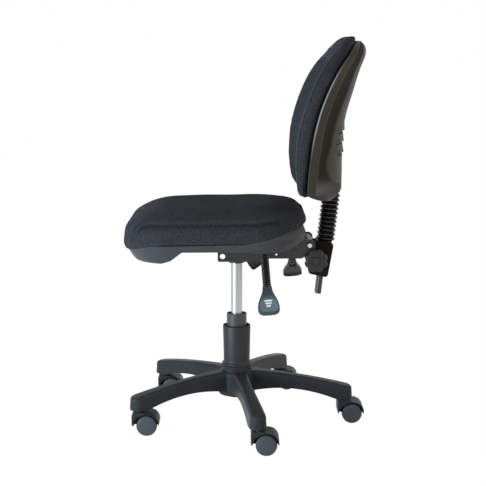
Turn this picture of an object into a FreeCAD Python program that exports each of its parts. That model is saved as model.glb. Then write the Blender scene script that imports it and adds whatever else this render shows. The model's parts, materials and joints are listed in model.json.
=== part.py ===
import FreeCAD, Part
import math
import os
import re
import Sketcher

# An ergonomic office chair: five-arm castor base, gas lift, tilt mechanism with
# three levers, upholstered seat and a height-adjustable upholstered back.
# Millimetres, +Z up, the chair faces -Y, origin on the floor on the lift axis.

V = FreeCAD.Vector
doc = FreeCAD.newDocument("ergonomic_office_chair")
sheet = doc.addObject("Spreadsheet::Sheet", "sheet")

DIMENSIONS = {
    # five-arm base
    "stem_circle": 270, "arm_turn": -7.4, "arm_count": 5, "arm_width": 42, "arm_waist": 38, "arm_root": 54,
    "arm_top": 127.6, "arm_lead": 0.031, "arm_bow": 1560, "arm_floor": 61, "arm_crest": 83.5, "arm_wall": 5,
    "arm_tip": 22, "arm_draft": 3.5, "hub_radius": 46, "hub_floor": 63, "hub_top": 138,
    # castors
    "wheel_radius": 25, "wheel_width": 19.5, "castor_trail": 20, "axle_radius": 4,
    "hood_half": 27.5, "hood_top": 58, "hood_gap": 1.5, "hood_wall": 3.5, "web_half": 6.5, "stem_radius": 5.5,
    "stem_top": 85, "running_gap": 0.05, "hood_front": 11, "hood_skirt": 24,
    # gas lift
    "tube_radius": 25, "tube_wall": 2, "tube_floor": 56, "tube_top": 269, "tube_foot": 24.2,
    "shroud_radius": 34, "shroud_top": 239, "shroud_wall": 2.5,
    "cylinder_radius": 14, "cylinder_bore": 12, "cylinder_floor": 201, "cylinder_top": 427.5,
    "socket_floor": 399, "rod_radius": 5, "bush_floor": 190, "button_radius": 4, "button_top": 433.5,
    # tilt mechanism
    "mech_half": 60, "sheet_gauge": 3, "mech_front": -46, "mech_floor": 411, "mech_rear_floor": 419,
    "web_front_top": 462, "web_rear_top": 452, "web_rear": 152, "seat_pivot_y": -30,
    "seat_pivot_z": 447, "pivot_y": 178, "pivot_z": 452, "ear_radius": 14,
    "pin_radius": 5, "bolt_radius": 6, "shaft_radius": 4, "shaft_z": 436,
    "seat_shaft_y": 67, "back_shaft_y": 140, "gas_shaft_z": 438, "gas_pivot_x": -52,
    # levers
    "lever_bend": 75, "lever_droop": 37, "lever_lean": 4.8, "sleeve_length": 106, "sleeve_radius": 9.8,
    "rib_count": 16, "paddle_length": 80, "paddle_width": 52, "paddle_neck": 22, "paddle_thick": 10,
    "gas_droop": 46, "gas_lean": 38, "gas_reach": 50,
    "gas_paddle_length": 84, "gas_paddle_width": 46, "gas_paddle_neck": 20,
    # seat
    "seat_front": -267, "seat_rear": 166, "seat_half": 238, "seat_half_rear": 226,
    "seat_low": 482, "seat_crown": 552, "front_roll": 155, "rear_roll": 70, "side_roll": 95,
    "corner_front": 105, "corner_rear": 125, "board_floor": 468, "board_thick": 12,
    "shell_wall": 3, "plate_half": 95, "plate_front": -75, "plate_rear": 150,
    "seat_bolt_x": 80, "seat_bolt_front": -60, "seat_bolt_rear": 112, "seat_bolt_radius": 3,
    "insert_x": 165, "insert_front": -40, "insert_pitch": 100, "insert_bore": 3.4,
    # back arm, in a frame leaning with the upright
    "bar_y": 213, "bar_z": 414, "lean": 6.5, "bar_width": 38, "bar_thick": 15, "bar_low": -92,
    "bar_high": 243, "slide_gap": 0.3, "sleeve_wall": 3, "clamp_low": -44, "clamp_high": 42,
    "cheek_x": 20, "cheek_gauge": 4, "cover_half": 32, "stud_y": -20, "knob_radius": 29,
    "knob_thick": 16, "knob_x": 63, "lobe_count": 8,
    "bellows_depth": 38, "bellows_width": 56, "bellows_rib": 4, "fold_count": 14, "bellows_high": 194,
    # back
    "back_half": 200, "back_low": 567, "back_high": 943, "foam_rise": 12, "back_y": 258, "back_wrap": 97,
    "back_taper": 0.114, "back_bend_z": 690, "back_bend_radius": 468, "foam_thick": 38,
    "foam_hollow": 38, "board_bulge": 40, "back_board_thick": 8, "outline_power": 3,
}

for row, (name, value) in enumerate(DIMENSIONS.items(), 1):
    sheet.set(f"A{row}", name)
    sheet.set(f"B{row}", str(value))
    sheet.setAlias(f"B{row}", name)
doc.recompute()

WORD = re.compile(r"[a-z][a-z_]+")
nodes = []


def bind(text):
    """An expression in sheet names, as the document reads it."""
    return WORD.sub(lambda m: "sheet." + m.group() if m.group() in DIMENSIONS else m.group(), str(text))


def size(text):
    return float(sheet.evalExpression(bind(text)))


def unit(vector):
    return vector * (1 / vector.Length)


def role(body, name):
    return next(f for f in body.Origin.OriginFeatures if f.Role == name)


def new_body(label, is_node=True):
    body = doc.addObject("PartDesign::Body", label)
    body.Label = label
    if is_node:
        nodes.append(body)
    return body


def sketch(body, plane, offset=None):
    sk = body.newObject("Sketcher::SketchObject", "sketch")
    sk.AttachmentSupport = [(role(body, plane), "")]
    sk.MapMode = "FlatFace"
    if offset is not None:
        sk.setExpression("AttachmentOffset.Base.z", bind(offset))
    return sk


def fix_point(sk, geo, pos, x, y):
    for kind, axis, text in (("DistanceX", -2, x), ("DistanceY", -1, y)):
        value = size(text)
        if abs(value) < 1e-9:
            sk.addConstraint(Sketcher.Constraint("PointOnObject", geo, pos, axis))
        else:
            c = sk.addConstraint(Sketcher.Constraint(kind, -1, 1, geo, pos, value))
            sk.setExpression(f"Constraints[{c}]", bind(text))


def outline(sk, corners):
    """Closed outline through corners (x, y) or (x, y, radius), every one bound to the sheet."""
    n = len(corners)
    pts = [V(size(c[0]), size(c[1]), 0) for c in corners]
    away = [(unit(pts[i - 1] - pts[i]), unit(pts[(i + 1) % n] - pts[i])) for i in range(n)]
    trim = [0] * n
    for i, c in enumerate(corners):
        if len(c) > 2:
            trim[i] = size(c[2]) / math.tan(away[i][0].getAngle(away[i][1]) / 2)
    lines = []
    for i in range(n):
        j = (i + 1) % n
        start = pts[i] + away[i][1] * trim[i]
        end = pts[j] + away[j][0] * trim[j]
        lines.append(sk.addGeometry(Part.LineSegment(start, end), False))
    for i, c in enumerate(corners):
        before, after = lines[i - 1], lines[i]
        if len(c) == 2:
            sk.addConstraint(Sketcher.Constraint("Coincident", before, 2, after, 1))
            fix_point(sk, after, 1, c[0], c[1])
            continue
        back, ahead = away[i]
        radius = size(c[2])
        centre = pts[i] + unit(back + ahead) * (radius / math.sin(back.getAngle(ahead) / 2))
        p = pts[i] + back * trim[i] - centre
        q = pts[i] + ahead * trim[i] - centre
        left = back.cross(ahead).z < 0
        first, last = (p, q) if left else (q, p)
        a0 = math.atan2(first.y, first.x)
        a1 = math.atan2(last.y, last.x)
        if a1 < a0:
            a1 += 2 * math.pi
        arc = sk.addGeometry(Part.ArcOfCircle(Part.Circle(centre, V(0, 0, 1), radius), a0, a1), False)
        sk.addConstraint(Sketcher.Constraint("Tangent", before, 2, arc, 1 if left else 2))
        sk.addConstraint(Sketcher.Constraint("Tangent", arc, 2 if left else 1, after, 1))
        k = sk.addConstraint(Sketcher.Constraint("Radius", arc, radius))
        sk.setExpression(f"Constraints[{k}]", bind(c[2]))
        mark = sk.addGeometry(Part.Point(pts[i]), True)
        sk.addConstraint(Sketcher.Constraint("PointOnObject", mark, 1, before))
        sk.addConstraint(Sketcher.Constraint("PointOnObject", mark, 1, after))
        fix_point(sk, mark, 1, c[0], c[1])
    return sk


def circle(sk, x, y, radius):
    geo = sk.addGeometry(Part.Circle(V(size(x), size(y), 0), V(0, 0, 1), size(radius)), False)
    fix_point(sk, geo, 3, x, y)
    c = sk.addConstraint(Sketcher.Constraint("Radius", geo, size(radius)))
    sk.setExpression(f"Constraints[{c}]", bind(radius))
    return sk


def grow(body, kind, sk, length, both=False, flip=False):
    before = body.Shape.Volume if kind == "Pocket" else 0
    f = body.newObject("PartDesign::" + kind, kind.lower())
    f.Profile = sk
    f.setExpression("Length", bind(length))
    f.SideType = "Symmetric" if both else "One side"
    f.Reversed = flip
    body.Tip = f
    doc.recompute()
    if kind == "Pocket" and f.Shape.Volume > before - 0.01:
        raise ValueError(f"{body.Label}: a pocket cut nothing")
    return f


def pad(body, sk, length, both=False, flip=False):
    return grow(body, "Pad", sk, length, both, flip)


def pocket(body, sk, length, both=False, flip=False):
    return grow(body, "Pocket", sk, length, both, flip)


def turn(body, sk, axis="V_Axis", kind="Revolution"):
    before = body.Shape.Volume if kind == "Groove" else 0
    f = body.newObject("PartDesign::" + kind, kind.lower())
    f.Profile = sk
    f.ReferenceAxis = (sk, [axis])
    f.Angle = 360
    body.Tip = f
    doc.recompute()
    if kind == "Groove" and f.Shape.Volume > before - 0.01:
        raise ValueError(f"{body.Label}: a groove cut nothing")
    return f


def soften(body, base, radius, wanted, kind="Fillet"):
    """Round or bevel the edges of a feature that a test picks out."""
    names = [f"Edge{i}" for i, e in enumerate(base.Shape.Edges, 1) if wanted(e)]
    f = body.newObject("PartDesign::" + kind, kind.lower())
    f.Base = (base, names)
    f.setExpression("Radius" if kind == "Fillet" else "Size", bind(radius))
    body.Tip = f
    doc.recompute()
    if not names or "Invalid" in f.State or f.Shape.isNull():
        raise ValueError(f"{body.Label}: edges were not softened")
    return f


def around(body, count, features=None):
    f = body.newObject("PartDesign::PolarPattern", "pattern")
    f.TransformMode = "Features" if features else "Whole shape"
    if features:
        f.Originals = features
    f.Axis = (role(body, "Z_Axis"), [""])
    f.Angle = 360
    f.setExpression("Occurrences", bind(count))
    body.Tip = f
    doc.recompute()
    return f


def place(obj, x, y, z, axis=V(0, 0, 1), angle=0):
    obj.Placement = FreeCAD.Placement(V(size(x), size(y), size(z)), FreeCAD.Rotation(axis, angle))
    for name, text in (("x", x), ("y", y), ("z", z)):
        if WORD.search(str(text)):
            obj.setExpression("Placement.Base." + name, bind(text))


def feature(label, shape, placement=None):
    obj = doc.addObject("Part::Feature", label)
    obj.Label = label
    obj.Shape = shape
    if placement:
        obj.Placement = placement
    nodes.append(obj)
    return obj


def group(label, members):
    obj = doc.addObject("Part::Compound", label)
    obj.Label = label
    obj.Links = members
    nodes.append(obj)
    return obj


def turned(label, corners, is_node=True):
    """A piece turned about the lift axis; corners are (radius, height)."""
    body = new_body(label, is_node)
    turn(body, outline(sketch(body, "XZ_Plane"), corners))
    return body


def turned_across(label, corners, is_node=True):
    """A piece turned about its own X axis; corners are (along, radius)."""
    body = new_body(label, is_node)
    turn(body, outline(sketch(body, "XZ_Plane"), corners), "H_Axis")
    return body


def mid(edge):
    return edge.valueAt((edge.FirstParameter + edge.LastParameter) / 2)


def faces_up(face):
    u0, u1, v0, v1 = face.ParameterRange
    return face.normalAt((u0 + u1) / 2, (v0 + v1) / 2).z > 0.9


def star_base():
    body = new_body("star_base")
    reach = "(stem_circle+arm_tip)"
    plan = outline(sketch(body, "XY_Plane", "arm_floor-6"), [
        ("-arm_root/2", "0"), ("arm_root/2", "0"), ("arm_waist/2", "stem_circle*0.45", "900"),
        ("arm_width/2", "stem_circle-16", "1400"), ("arm_width/2", reach, "arm_width*0.46"),
        ("-arm_width/2", reach, "arm_width*0.46"), ("-arm_width/2", "stem_circle-16", "1400"),
        ("-arm_waist/2", "stem_circle*0.45", "900")])
    block = pad(body, plan, "arm_top-arm_floor+12")
    block.setExpression("TaperAngle", bind("-arm_draft"))
    end = f"({reach}+14)"
    over = outline(sketch(body, "YZ_Plane"), [
        ("-1", "arm_top"), (end + "/2", f"arm_top-arm_lead*{end}/2", "arm_bow*0.99"),
        (end, f"arm_top-arm_lead*{end}-{end}*{end}/(2*arm_bow)"), (end, "arm_top+20"), ("-1", "arm_top+20")])
    pocket(body, over, "arm_width*2", both=True)
    under = outline(sketch(body, "YZ_Plane"), [
        ("-1", "arm_crest-18.5"), ("-1", "arm_floor-12"), (end, "arm_floor-12"), (end, "arm_floor"),
        ("stem_circle-18", "arm_floor", "12"), ("stem_circle/2", "arm_crest+16", "390")])
    cut = pocket(body, under, "arm_width*2", both=True)
    tops = [f for f in cut.Shape.Faces if faces_up(f) and f.CenterOfMass.z > size("arm_crest")]
    rims = [e for f in tops for e in f.Edges]
    soften(body, cut, "9", lambda e: mid(e).y > 20 and any(e.isSame(r) for r in rims))
    bays = sketch(body, "YZ_Plane")
    roof = "arm_top-arm_wall-arm_lead*(%s)-(%s)*(%s)/(2*arm_bow)"
    for near, far in (("54", "stem_circle*0.42"), ("stem_circle*0.42+4", "stem_circle*0.66"),
                      ("stem_circle*0.66+4", "stem_circle-26")):
        outline(bays, [(near, "arm_floor-12"), (far, "arm_floor-12"), (far, roof % (far, far, far)),
                       (near, roof % (near, near, near))])
    pocket(body, bays, "arm_waist-3*arm_wall", both=True)
    socket = circle(sketch(body, "XY_Plane", "arm_floor-2"), "0", "stem_circle", "stem_radius+running_gap")
    pocket(body, socket, "stem_top-arm_floor+3", flip=True)
    around(body, "arm_count")
    turn(body, outline(sketch(body, "XZ_Plane"), [
        ("0", "hub_floor"), ("hub_radius", "hub_floor", "3"), ("hub_radius", "arm_top-8", "8"),
        ("tube_radius+13", "arm_top", "4"), ("tube_radius+13", "hub_top", "2"), ("0", "hub_top")]))
    turn(body, outline(sketch(body, "XZ_Plane"), [
        ("0", "tube_floor"), ("tube_foot+running_gap", "tube_floor"),
        ("tube_radius+running_gap", "hub_top"), ("tube_radius+running_gap", "hub_top+5"),
        ("0", "hub_top+5")]), kind="Groove")
    place(body, "0", "0", "0", V(0, 0, 1), size("arm_turn"))


def gas_lift():
    turned("column_tube", [
        ("rod_radius+0.5", "tube_floor"), ("tube_foot", "tube_floor"), ("tube_radius", "hub_top"),
        ("tube_radius", "tube_top"), ("tube_radius-tube_wall", "tube_top"),
        ("tube_radius-tube_wall", "hub_top"), ("tube_foot-tube_wall", "tube_floor+4"),
        ("rod_radius+0.5", "tube_floor+4")])
    bush = turned("guide_bush", [
        ("cylinder_radius+running_gap*2", "bush_floor"),
        ("tube_radius-tube_wall-running_gap", "bush_floor"),
        ("tube_radius-tube_wall-running_gap", "tube_top-2"),
        ("cylinder_radius+running_gap*2", "tube_top-2")])
    notch = outline(sketch(bush, "XY_Plane", "tube_top"), [
        ("-2.5", "cylinder_radius+2"), ("2.5", "cylinder_radius+2"),
        ("2.5", "tube_radius-tube_wall-1.5"), ("-2.5", "tube_radius-tube_wall-1.5")])
    around(bush, "10", [pocket(bush, notch, "8")])
    turned("column_shroud", [
        ("tube_radius+0.3", "hub_top+0.1"), ("shroud_radius+3", "hub_top+0.1", "1.5"),
        ("shroud_radius+3", "hub_top+5", "1.5"), ("shroud_radius+0.6", "hub_top+9", "3"),
        ("shroud_radius", "shroud_top", "1"), ("shroud_radius-shroud_wall", "shroud_top", "1"),
        ("shroud_radius-shroud_wall", "hub_top+4"), ("tube_radius+0.3", "hub_top+4")])
    turned("piston_rod", [
        ("0", "tube_floor-5.5"), ("rod_radius", "tube_floor-5.5", "1"), ("rod_radius", "tube_floor-2"),
        ("rod_radius-0.8", "tube_floor-2"), ("rod_radius-0.8", "tube_floor-0.3"),
        ("rod_radius", "tube_floor-0.3"), ("rod_radius", "cylinder_floor+8"),
        ("cylinder_bore-0.1", "cylinder_floor+8"), ("cylinder_bore-0.1", "cylinder_floor+20"),
        ("0", "cylinder_floor+20")])
    turned("rod_clip", [
        ("rod_radius-0.75", "tube_floor-2"), ("rod_radius+4", "tube_floor-2"),
        ("rod_radius+4", "tube_floor-0.3"), ("rod_radius-0.75", "tube_floor-0.3")])
    turned("bump_stop", [
        ("rod_radius+0.05", "tube_floor+12.7"), ("rod_radius+10", "tube_floor+12.7", "2"),
        ("rod_radius+8", "tube_floor+22", "3"), ("rod_radius+0.05", "tube_floor+22")])
    turned("gas_cylinder", [
        ("rod_radius+0.1", "cylinder_floor"), ("cylinder_radius", "cylinder_floor", "1.5"),
        ("cylinder_radius", "socket_floor"), ("cylinder_radius-0.5", "cylinder_top"),
        ("button_radius+0.1", "cylinder_top"), ("button_radius+0.1", "cylinder_top-23"),
        ("0", "cylinder_top-23"), ("0", "socket_floor-4"), ("cylinder_bore", "socket_floor-4"),
        ("cylinder_bore", "cylinder_floor+4"), ("rod_radius+0.1", "cylinder_floor+4")])
    turned("valve_button", [
        ("0", "button_top-20"), ("button_radius", "button_top-20"),
        ("button_radius", "button_top-2"), ("button_radius-1", "button_top"), ("0", "button_top")])


def thrust_bearing():
    floor = size("tube_floor") + 4
    rod = size("rod_radius")
    gauge = 2.2
    ball = 2.0
    outer = rod + 9
    pitch = rod + 5
    lower = Part.makeCylinder(outer, gauge, V(0, 0, floor))
    lower = lower.cut(Part.makeCylinder(rod + 0.6, gauge, V(0, 0, floor)))
    upper = lower.copy()
    upper.translate(V(0, 0, gauge + 2 * ball))
    solids = [lower, upper]
    for k in range(10):
        a = math.radians(36 * k)
        where = V(pitch * math.cos(a), pitch * math.sin(a), floor + gauge + ball)
        solids.append(Part.makeSphere(ball, where))
    feature("thrust_bearing", Part.makeCompound(solids))


def castor(k):
    a = math.radians(size("arm_turn") + 72 * k)
    x = -size("stem_circle") * math.sin(a)
    y = size("stem_circle") * math.cos(a)
    tag = f"_{k + 1}"
    hood = new_body("castor_hood" + tag)
    side = outline(sketch(hood, "YZ_Plane"), [
        ("-hood_front", "hood_skirt", "6"),
        ("castor_trail+wheel_radius+hood_gap+hood_wall", "hood_skirt", "5"),
        ("castor_trail+wheel_radius+hood_gap+hood_wall", "hood_top-7", "wheel_radius"),
        ("castor_trail-12", "hood_top", "20"), ("-hood_front", "hood_top", "8")])
    block = pad(hood, side, "hood_half*2", both=True)
    half = size("hood_half")
    soften(hood, block, "2.5", lambda e: abs(abs(mid(e).x) - half) < 0.01)
    for sign, flip in (("", True), ("-", False)):
        well = circle(sketch(hood, "YZ_Plane", sign + "web_half"), "castor_trail", "wheel_radius",
                      "wheel_radius+hood_gap")
        pocket(hood, well, "hood_half", flip=flip)
    pocket(hood, circle(sketch(hood, "YZ_Plane"), "castor_trail", "wheel_radius", "axle_radius"),
           "hood_half*2", both=True)
    pocket(hood, circle(sketch(hood, "XY_Plane", "hood_top+1"), "0", "0", "stem_radius"), "21")
    place(hood, x, y, 0)
    stem = turned("castor_stem" + tag, [
        ("0", "hood_top-20"), ("stem_radius", "hood_top-20"), ("stem_radius", "stem_top-5"),
        ("stem_radius-0.7", "stem_top-4"), ("stem_radius-0.7", "stem_top-2.5"),
        ("stem_radius-1", "stem_top", "0.7"), ("0", "stem_top")], is_node=False)
    place(stem, x, y, 0)
    axle = turned_across("castor_axle" + tag, [
        ("-wheel_width-web_half/2", "0"), ("-wheel_width-web_half/2", "axle_radius", "0.8"),
        ("wheel_width+web_half/2", "axle_radius", "0.8"), ("wheel_width+web_half/2", "0")], is_node=False)
    place(axle, x, f"{y:.6f}+castor_trail", "wheel_radius")
    group("castor_pins" + tag, [stem, axle])
    for name, angle in (("left", 0), ("right", 180)):
        wheel = turned_across(f"castor_wheel_{name}" + tag, [
            ("web_half+0.5", "axle_radius+running_gap"), ("web_half+0.5", "wheel_radius", "2"),
            ("web_half+0.5+wheel_width", "wheel_radius", "3.5"), ("web_half+0.5+wheel_width", "0"),
            ("wheel_width+web_half/2+0.3", "0"),
            ("wheel_width+web_half/2+0.3", "axle_radius+running_gap")])
        place(wheel, x, f"{y:.6f}+castor_trail", "wheel_radius", V(0, 0, 1), angle)


def mechanism():
    body = new_body("mechanism_housing")
    side = outline(sketch(body, "YZ_Plane"), [
        ("mech_front", "mech_floor", "4"), ("62", "mech_floor", "10"), ("80", "mech_rear_floor", "10"),
        ("pivot_y-20", "mech_rear_floor", "16"), ("pivot_y+ear_radius", "pivot_z-ear_radius-2", "12"),
        ("pivot_y+ear_radius", "pivot_z+ear_radius", "12"),
        ("pivot_y-ear_radius", "pivot_z+ear_radius", "8"), ("web_rear", "web_rear_top", "5"),
        ("mech_front", "web_front_top", "4")])
    pad(body, side, "mech_half*2", both=True)
    fall = "(web_front_top-web_rear_top)/(web_rear-mech_front)"
    inside = outline(sketch(body, "YZ_Plane"), [
        ("mech_front-10", "mech_floor-12"), ("pivot_y+40", "mech_floor-12"), ("pivot_y+40", "pivot_z+40"),
        ("web_rear", "pivot_z+40"), ("web_rear", "web_rear_top-sheet_gauge"),
        ("-6", "web_front_top-sheet_gauge-(-6-mech_front)*" + fall),
        ("-6", "pivot_z+40"), ("mech_front-10", "pivot_z+40")])
    pocket(body, inside, "2*(mech_half-sheet_gauge)", both=True)
    brace = outline(sketch(body, "XY_Plane", "mech_floor+3"), [
        ("-mech_half+sheet_gauge/2", "-22"), ("mech_half-sheet_gauge/2", "-22"),
        ("mech_half-sheet_gauge/2", "56"), ("-mech_half+sheet_gauge/2", "56")])
    pad(body, brace, "sheet_gauge")
    pad(body, circle(sketch(body, "XY_Plane", "socket_floor"), "0", "0", "cylinder_radius+5.5"),
        "cylinder_top-socket_floor")
    turn(body, outline(sketch(body, "XZ_Plane"), [
        ("0", "socket_floor-5"), ("cylinder_radius+0.05", "socket_floor-5"),
        ("cylinder_radius+0.05", "socket_floor"), ("cylinder_radius-0.45", "cylinder_top"),
        ("cylinder_radius-0.45", "cylinder_top+5"), ("0", "cylinder_top+5")]), kind="Groove")
    holes = sketch(body, "YZ_Plane")
    circle(holes, "seat_pivot_y", "seat_pivot_z", "pin_radius+running_gap")
    circle(holes, "seat_pivot_y-4", "seat_pivot_z-23", "6.5")
    circle(holes, "seat_shaft_y", "shaft_z", "shaft_radius+running_gap")
    circle(holes, "back_shaft_y", "shaft_z", "shaft_radius+running_gap")
    circle(holes, "pivot_y", "pivot_z", "bolt_radius+running_gap")
    circle(holes, "97", "shaft_z-7", "2.5")
    pocket(body, holes, "mech_half*3", both=True)
    window = outline(sketch(body, "YZ_Plane", "-mech_half/2"), [
        ("-8", "gas_shaft_z-7", "2"), ("8", "gas_shaft_z-7", "2"), ("8", "gas_shaft_z+5"),
        ("-8", "gas_shaft_z+5")])
    pocket(body, window, "mech_half")
    pin = turned_across("seat_pivot_pin", [
        ("-mech_half-2.5", "0"), ("-mech_half-2.5", "pin_radius+3", "1"),
        ("-mech_half-0.1", "pin_radius+3"), ("-mech_half-0.1", "pin_radius"),
        ("mech_half+0.1", "pin_radius"), ("mech_half+0.1", "pin_radius+3"),
        ("mech_half+2.5", "pin_radius+3", "1"), ("mech_half+2.5", "0")])
    place(pin, "0", "seat_pivot_y", "seat_pivot_z")
    bolt = turned_across("pivot_shank", [
        ("-mech_half-10", "0"), ("-mech_half-10", "bolt_radius", "1"), ("mech_half+0.1", "bolt_radius"),
        ("mech_half+0.1", "bolt_radius+4.5"), ("mech_half+1.6", "bolt_radius+4.5"),
        ("mech_half+1.6", "bolt_radius+2"), ("mech_half+6", "bolt_radius+2", "2"),
        ("mech_half+6", "0")], is_node=False)
    place(bolt, "0", "pivot_y", "pivot_z")
    nut = new_body("pivot_nut", is_node=False)
    hexagon(nut, "YZ_Plane", "-mech_half-7.1", "bolt_radius+3.5", "7")
    bore = circle(sketch(nut, "YZ_Plane"), "0", "0", "bolt_radius+running_gap")
    pocket(nut, bore, "mech_half*3", both=True)
    place(nut, "0", "pivot_y", "pivot_z")
    group("back_pivot_bolt", [bolt, nut])


def hexagon(body, plane, offset, radius, height, flip=False):
    """A six-sided prism standing on a plane; radius is to its corners."""
    corners = []
    for k in range(6):
        a = math.radians(60 * k)
        corners.append((f"({radius})*{math.cos(a):.6f}", f"({radius})*{math.sin(a):.6f}"))
    return pad(body, outline(sketch(body, plane, offset), corners), height, flip=flip)


def lever_frame(y, z, side, lean, bend=None, droop=None, along=0):
    """Frame of a lever: X along its shaft, or along its drooping arm from the bend."""
    out = FreeCAD.Placement(V(0, y, z), FreeCAD.Rotation(V(1, 0, 0), lean))
    out = out.multiply(FreeCAD.Placement(V(), FreeCAD.Rotation(V(0, 0, 1), 0 if side > 0 else 180)))
    if bend is None:
        return out
    arm = FreeCAD.Placement(V(bend, 0, 0), FreeCAD.Rotation(V(0, 1, 0), droop))
    return out.multiply(arm).multiply(FreeCAD.Placement(V(along, 0, 0), FreeCAD.Rotation()))


def lever_rod(label, start, bend, droop, reach, frame, cap=None):
    """A round rod along X, bent down by the droop angle and running on along its arm."""
    body = new_body(label)
    a = math.radians(size(droop))
    path = sketch(body, "XZ_Plane")
    fillet = 14.0
    corner = V(size(bend), 0, 0)
    down = V(math.cos(a), -math.sin(a), 0)
    t = fillet * math.tan(a / 2)
    p0 = V(size(start), 0, 0)
    p1 = corner - V(t, 0, 0)
    p2 = corner + down * t
    p3 = corner + down * size(reach)
    centre = p1 + V(0, -fillet, 0)
    one = path.addGeometry(Part.LineSegment(p0, p1), False)
    arc = path.addGeometry(Part.ArcOfCircle(Part.Circle(centre, V(0, 0, 1), fillet),
                                            math.pi / 2 - a, math.pi / 2), False)
    two = path.addGeometry(Part.LineSegment(p2, p3), False)
    path.addConstraint(Sketcher.Constraint("Tangent", one, 2, arc, 2))
    path.addConstraint(Sketcher.Constraint("Tangent", arc, 1, two, 1))
    path.addConstraint(Sketcher.Constraint("Radius", arc, fillet))
    fix_point(path, one, 1, start, "0")
    path.addConstraint(Sketcher.Constraint("Horizontal", one))
    fix_point(path, two, 2, f"{bend}+({reach})*cos({droop}*1deg)", f"-({reach})*sin({droop}*1deg)")
    ring = circle(sketch(body, "YZ_Plane", start), "0", "0", "shaft_radius")
    f = body.newObject("PartDesign::AdditivePipe", "rod")
    f.Profile = ring
    f.Spine = path
    body.Tip = f
    doc.recompute()
    if cap:
        pad(body, circle(sketch(body, "YZ_Plane", cap), "0", "0", "shaft_radius+3"), "2.4", flip=True)
    body.Placement = frame
    return body


def ribbed_sleeve(label, frame):
    """A soft sleeve with round ribs, turned about the lever's arm."""
    count = int(size("rib_count"))
    length = size("sleeve_length")
    outer = size("sleeve_radius")
    bore = size("shaft_radius") + 0.1
    root = outer - 2.2
    pitch = (length - 8) / count
    pts = [V(0, 0, bore), V(0, 0, root + 0.6), V(4, 0, root + 0.6), V(4, 0, root)]
    for k in range(count):
        x = 4 + k * pitch
        pts += [V(x + 0.3 * pitch, 0, outer), V(x + 0.7 * pitch, 0, outer), V(x + pitch, 0, root)]
    pts += [V(length - 4, 0, root + 0.6), V(length, 0, root + 0.6), V(length, 0, bore)]
    face = Part.Face(Part.makePolygon(pts + [pts[0]]))
    feature(label, face.revolve(V(), V(1, 0, 0), 360), frame)


def lever_paddle(label, frame, length, width, neck, boss):
    """A flat flared grip with a socket for the rod and a rimmed underside."""
    body = new_body(label)
    plan = outline(sketch(body, "XY_Plane", "-paddle_thick/2"), [
        ("0", f"-{neck}/2"), (f"{length}*0.22", f"-{neck}/2", "16"),
        (f"{length}*0.55", f"-{width}*0.4", "40"),
        (length, f"-{width}/2", "10"), (length, f"{width}/2", "10"),
        (f"{length}*0.55", f"{width}*0.4", "40"), (f"{length}*0.22", f"{neck}/2", "16"), ("0", f"{neck}/2")])
    slab = pad(body, plan, "paddle_thick")
    half = size("paddle_thick") / 2
    soften(body, slab, "2.4", lambda e: abs(abs(mid(e).z) - half) < 0.01 and mid(e).x > 0.1)
    pocket(body, circle(sketch(body, "YZ_Plane"), "0", "0", "shaft_radius+running_gap"), f"{length}*0.45",
           flip=True)
    if boss:
        pad(body, outline(sketch(body, "XY_Plane", "-paddle_thick/2+0.5"), [
            ("14", "-6", "2"), ("34", "-6", "2"), ("34", "6", "2"), ("14", "6", "2")]), "3", flip=True)
    body.Placement = frame


def levers():
    bend = size("lever_bend")
    droop = size("lever_droop")
    z = size("shaft_z")
    for name, y, side in (("seat", "seat_shaft_y", 1), ("back", "back_shaft_y", -1)):
        lean = size("lever_lean")
        at = (size(y), z, side, lean)
        lever_rod(name + "_lever_rod", "-mech_half-4", "lever_bend", "lever_droop",
                  "sleeve_length+6+paddle_length*0.42", lever_frame(*at), cap="-mech_half-0.6")
        ribbed_sleeve(name + "_lever_sleeve", lever_frame(*at, bend, droop, 6))
        lever_paddle(name + "_lever_paddle", lever_frame(*at, bend, droop, 6.3 + size("sleeve_length")),
                     "paddle_length", "paddle_width", "paddle_neck", True)
    at = (0, size("gas_shaft_z"), -1, size("gas_lean"))
    rod = lever_rod("gas_lever_rod", "-8", "mech_half+6", "gas_droop", "gas_reach+30", lever_frame(*at))
    lug = outline(sketch(rod, "XY_Plane", "-3"), [
        ("-gas_pivot_x-3", "-12", "2"), ("-gas_pivot_x+3", "-12", "2"), ("-gas_pivot_x+3", "12", "2"),
        ("-gas_pivot_x-3", "12", "2")])
    pad(rod, lug, "6")
    grip = lever_frame(*at, size("mech_half") + 6, size("gas_droop"), size("gas_reach"))
    lever_paddle("gas_lever_paddle", grip, "gas_paddle_length", "gas_paddle_width", "gas_paddle_neck", False)


def rounded_wire(corners, lift):
    """Closed level wire of straight sides and round corners (x, y, radius)."""
    n = len(corners)
    pts = [V(c[0], c[1], lift) for c in corners]
    ends = []
    for i, c in enumerate(corners):
        back = unit(pts[i - 1] - pts[i])
        ahead = unit(pts[(i + 1) % n] - pts[i])
        half = back.getAngle(ahead) / 2
        reach = c[2] / math.tan(half)
        centre = pts[i] + unit(back + ahead) * (c[2] / math.sin(half))
        middle = centre - unit(back + ahead) * c[2]
        ends.append((pts[i] + back * reach, middle, pts[i] + ahead * reach))
    edges = []
    for i in range(n):
        edges.append(Part.Arc(*ends[i]).toShape())
        edges.append(Part.makeLine(ends[i][2], ends[(i + 1) % n][0]))
    return Part.Wire(edges)


def seat_plan(lift, front, rear, side):
    """The seat's plan outline at a height, drawn in at its front, rear and sides."""
    f = size("seat_front") + front
    r = size("seat_rear") - rear
    a = size("seat_half") - side
    b = size("seat_half_rear") - side
    rf = size("corner_front") - 0.3 * side
    rr = size("corner_rear") - 0.3 * side
    return rounded_wire([(-a, f, rf), (a, f, rf), (b, r, rr), (-b, r, rr)], lift)


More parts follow.
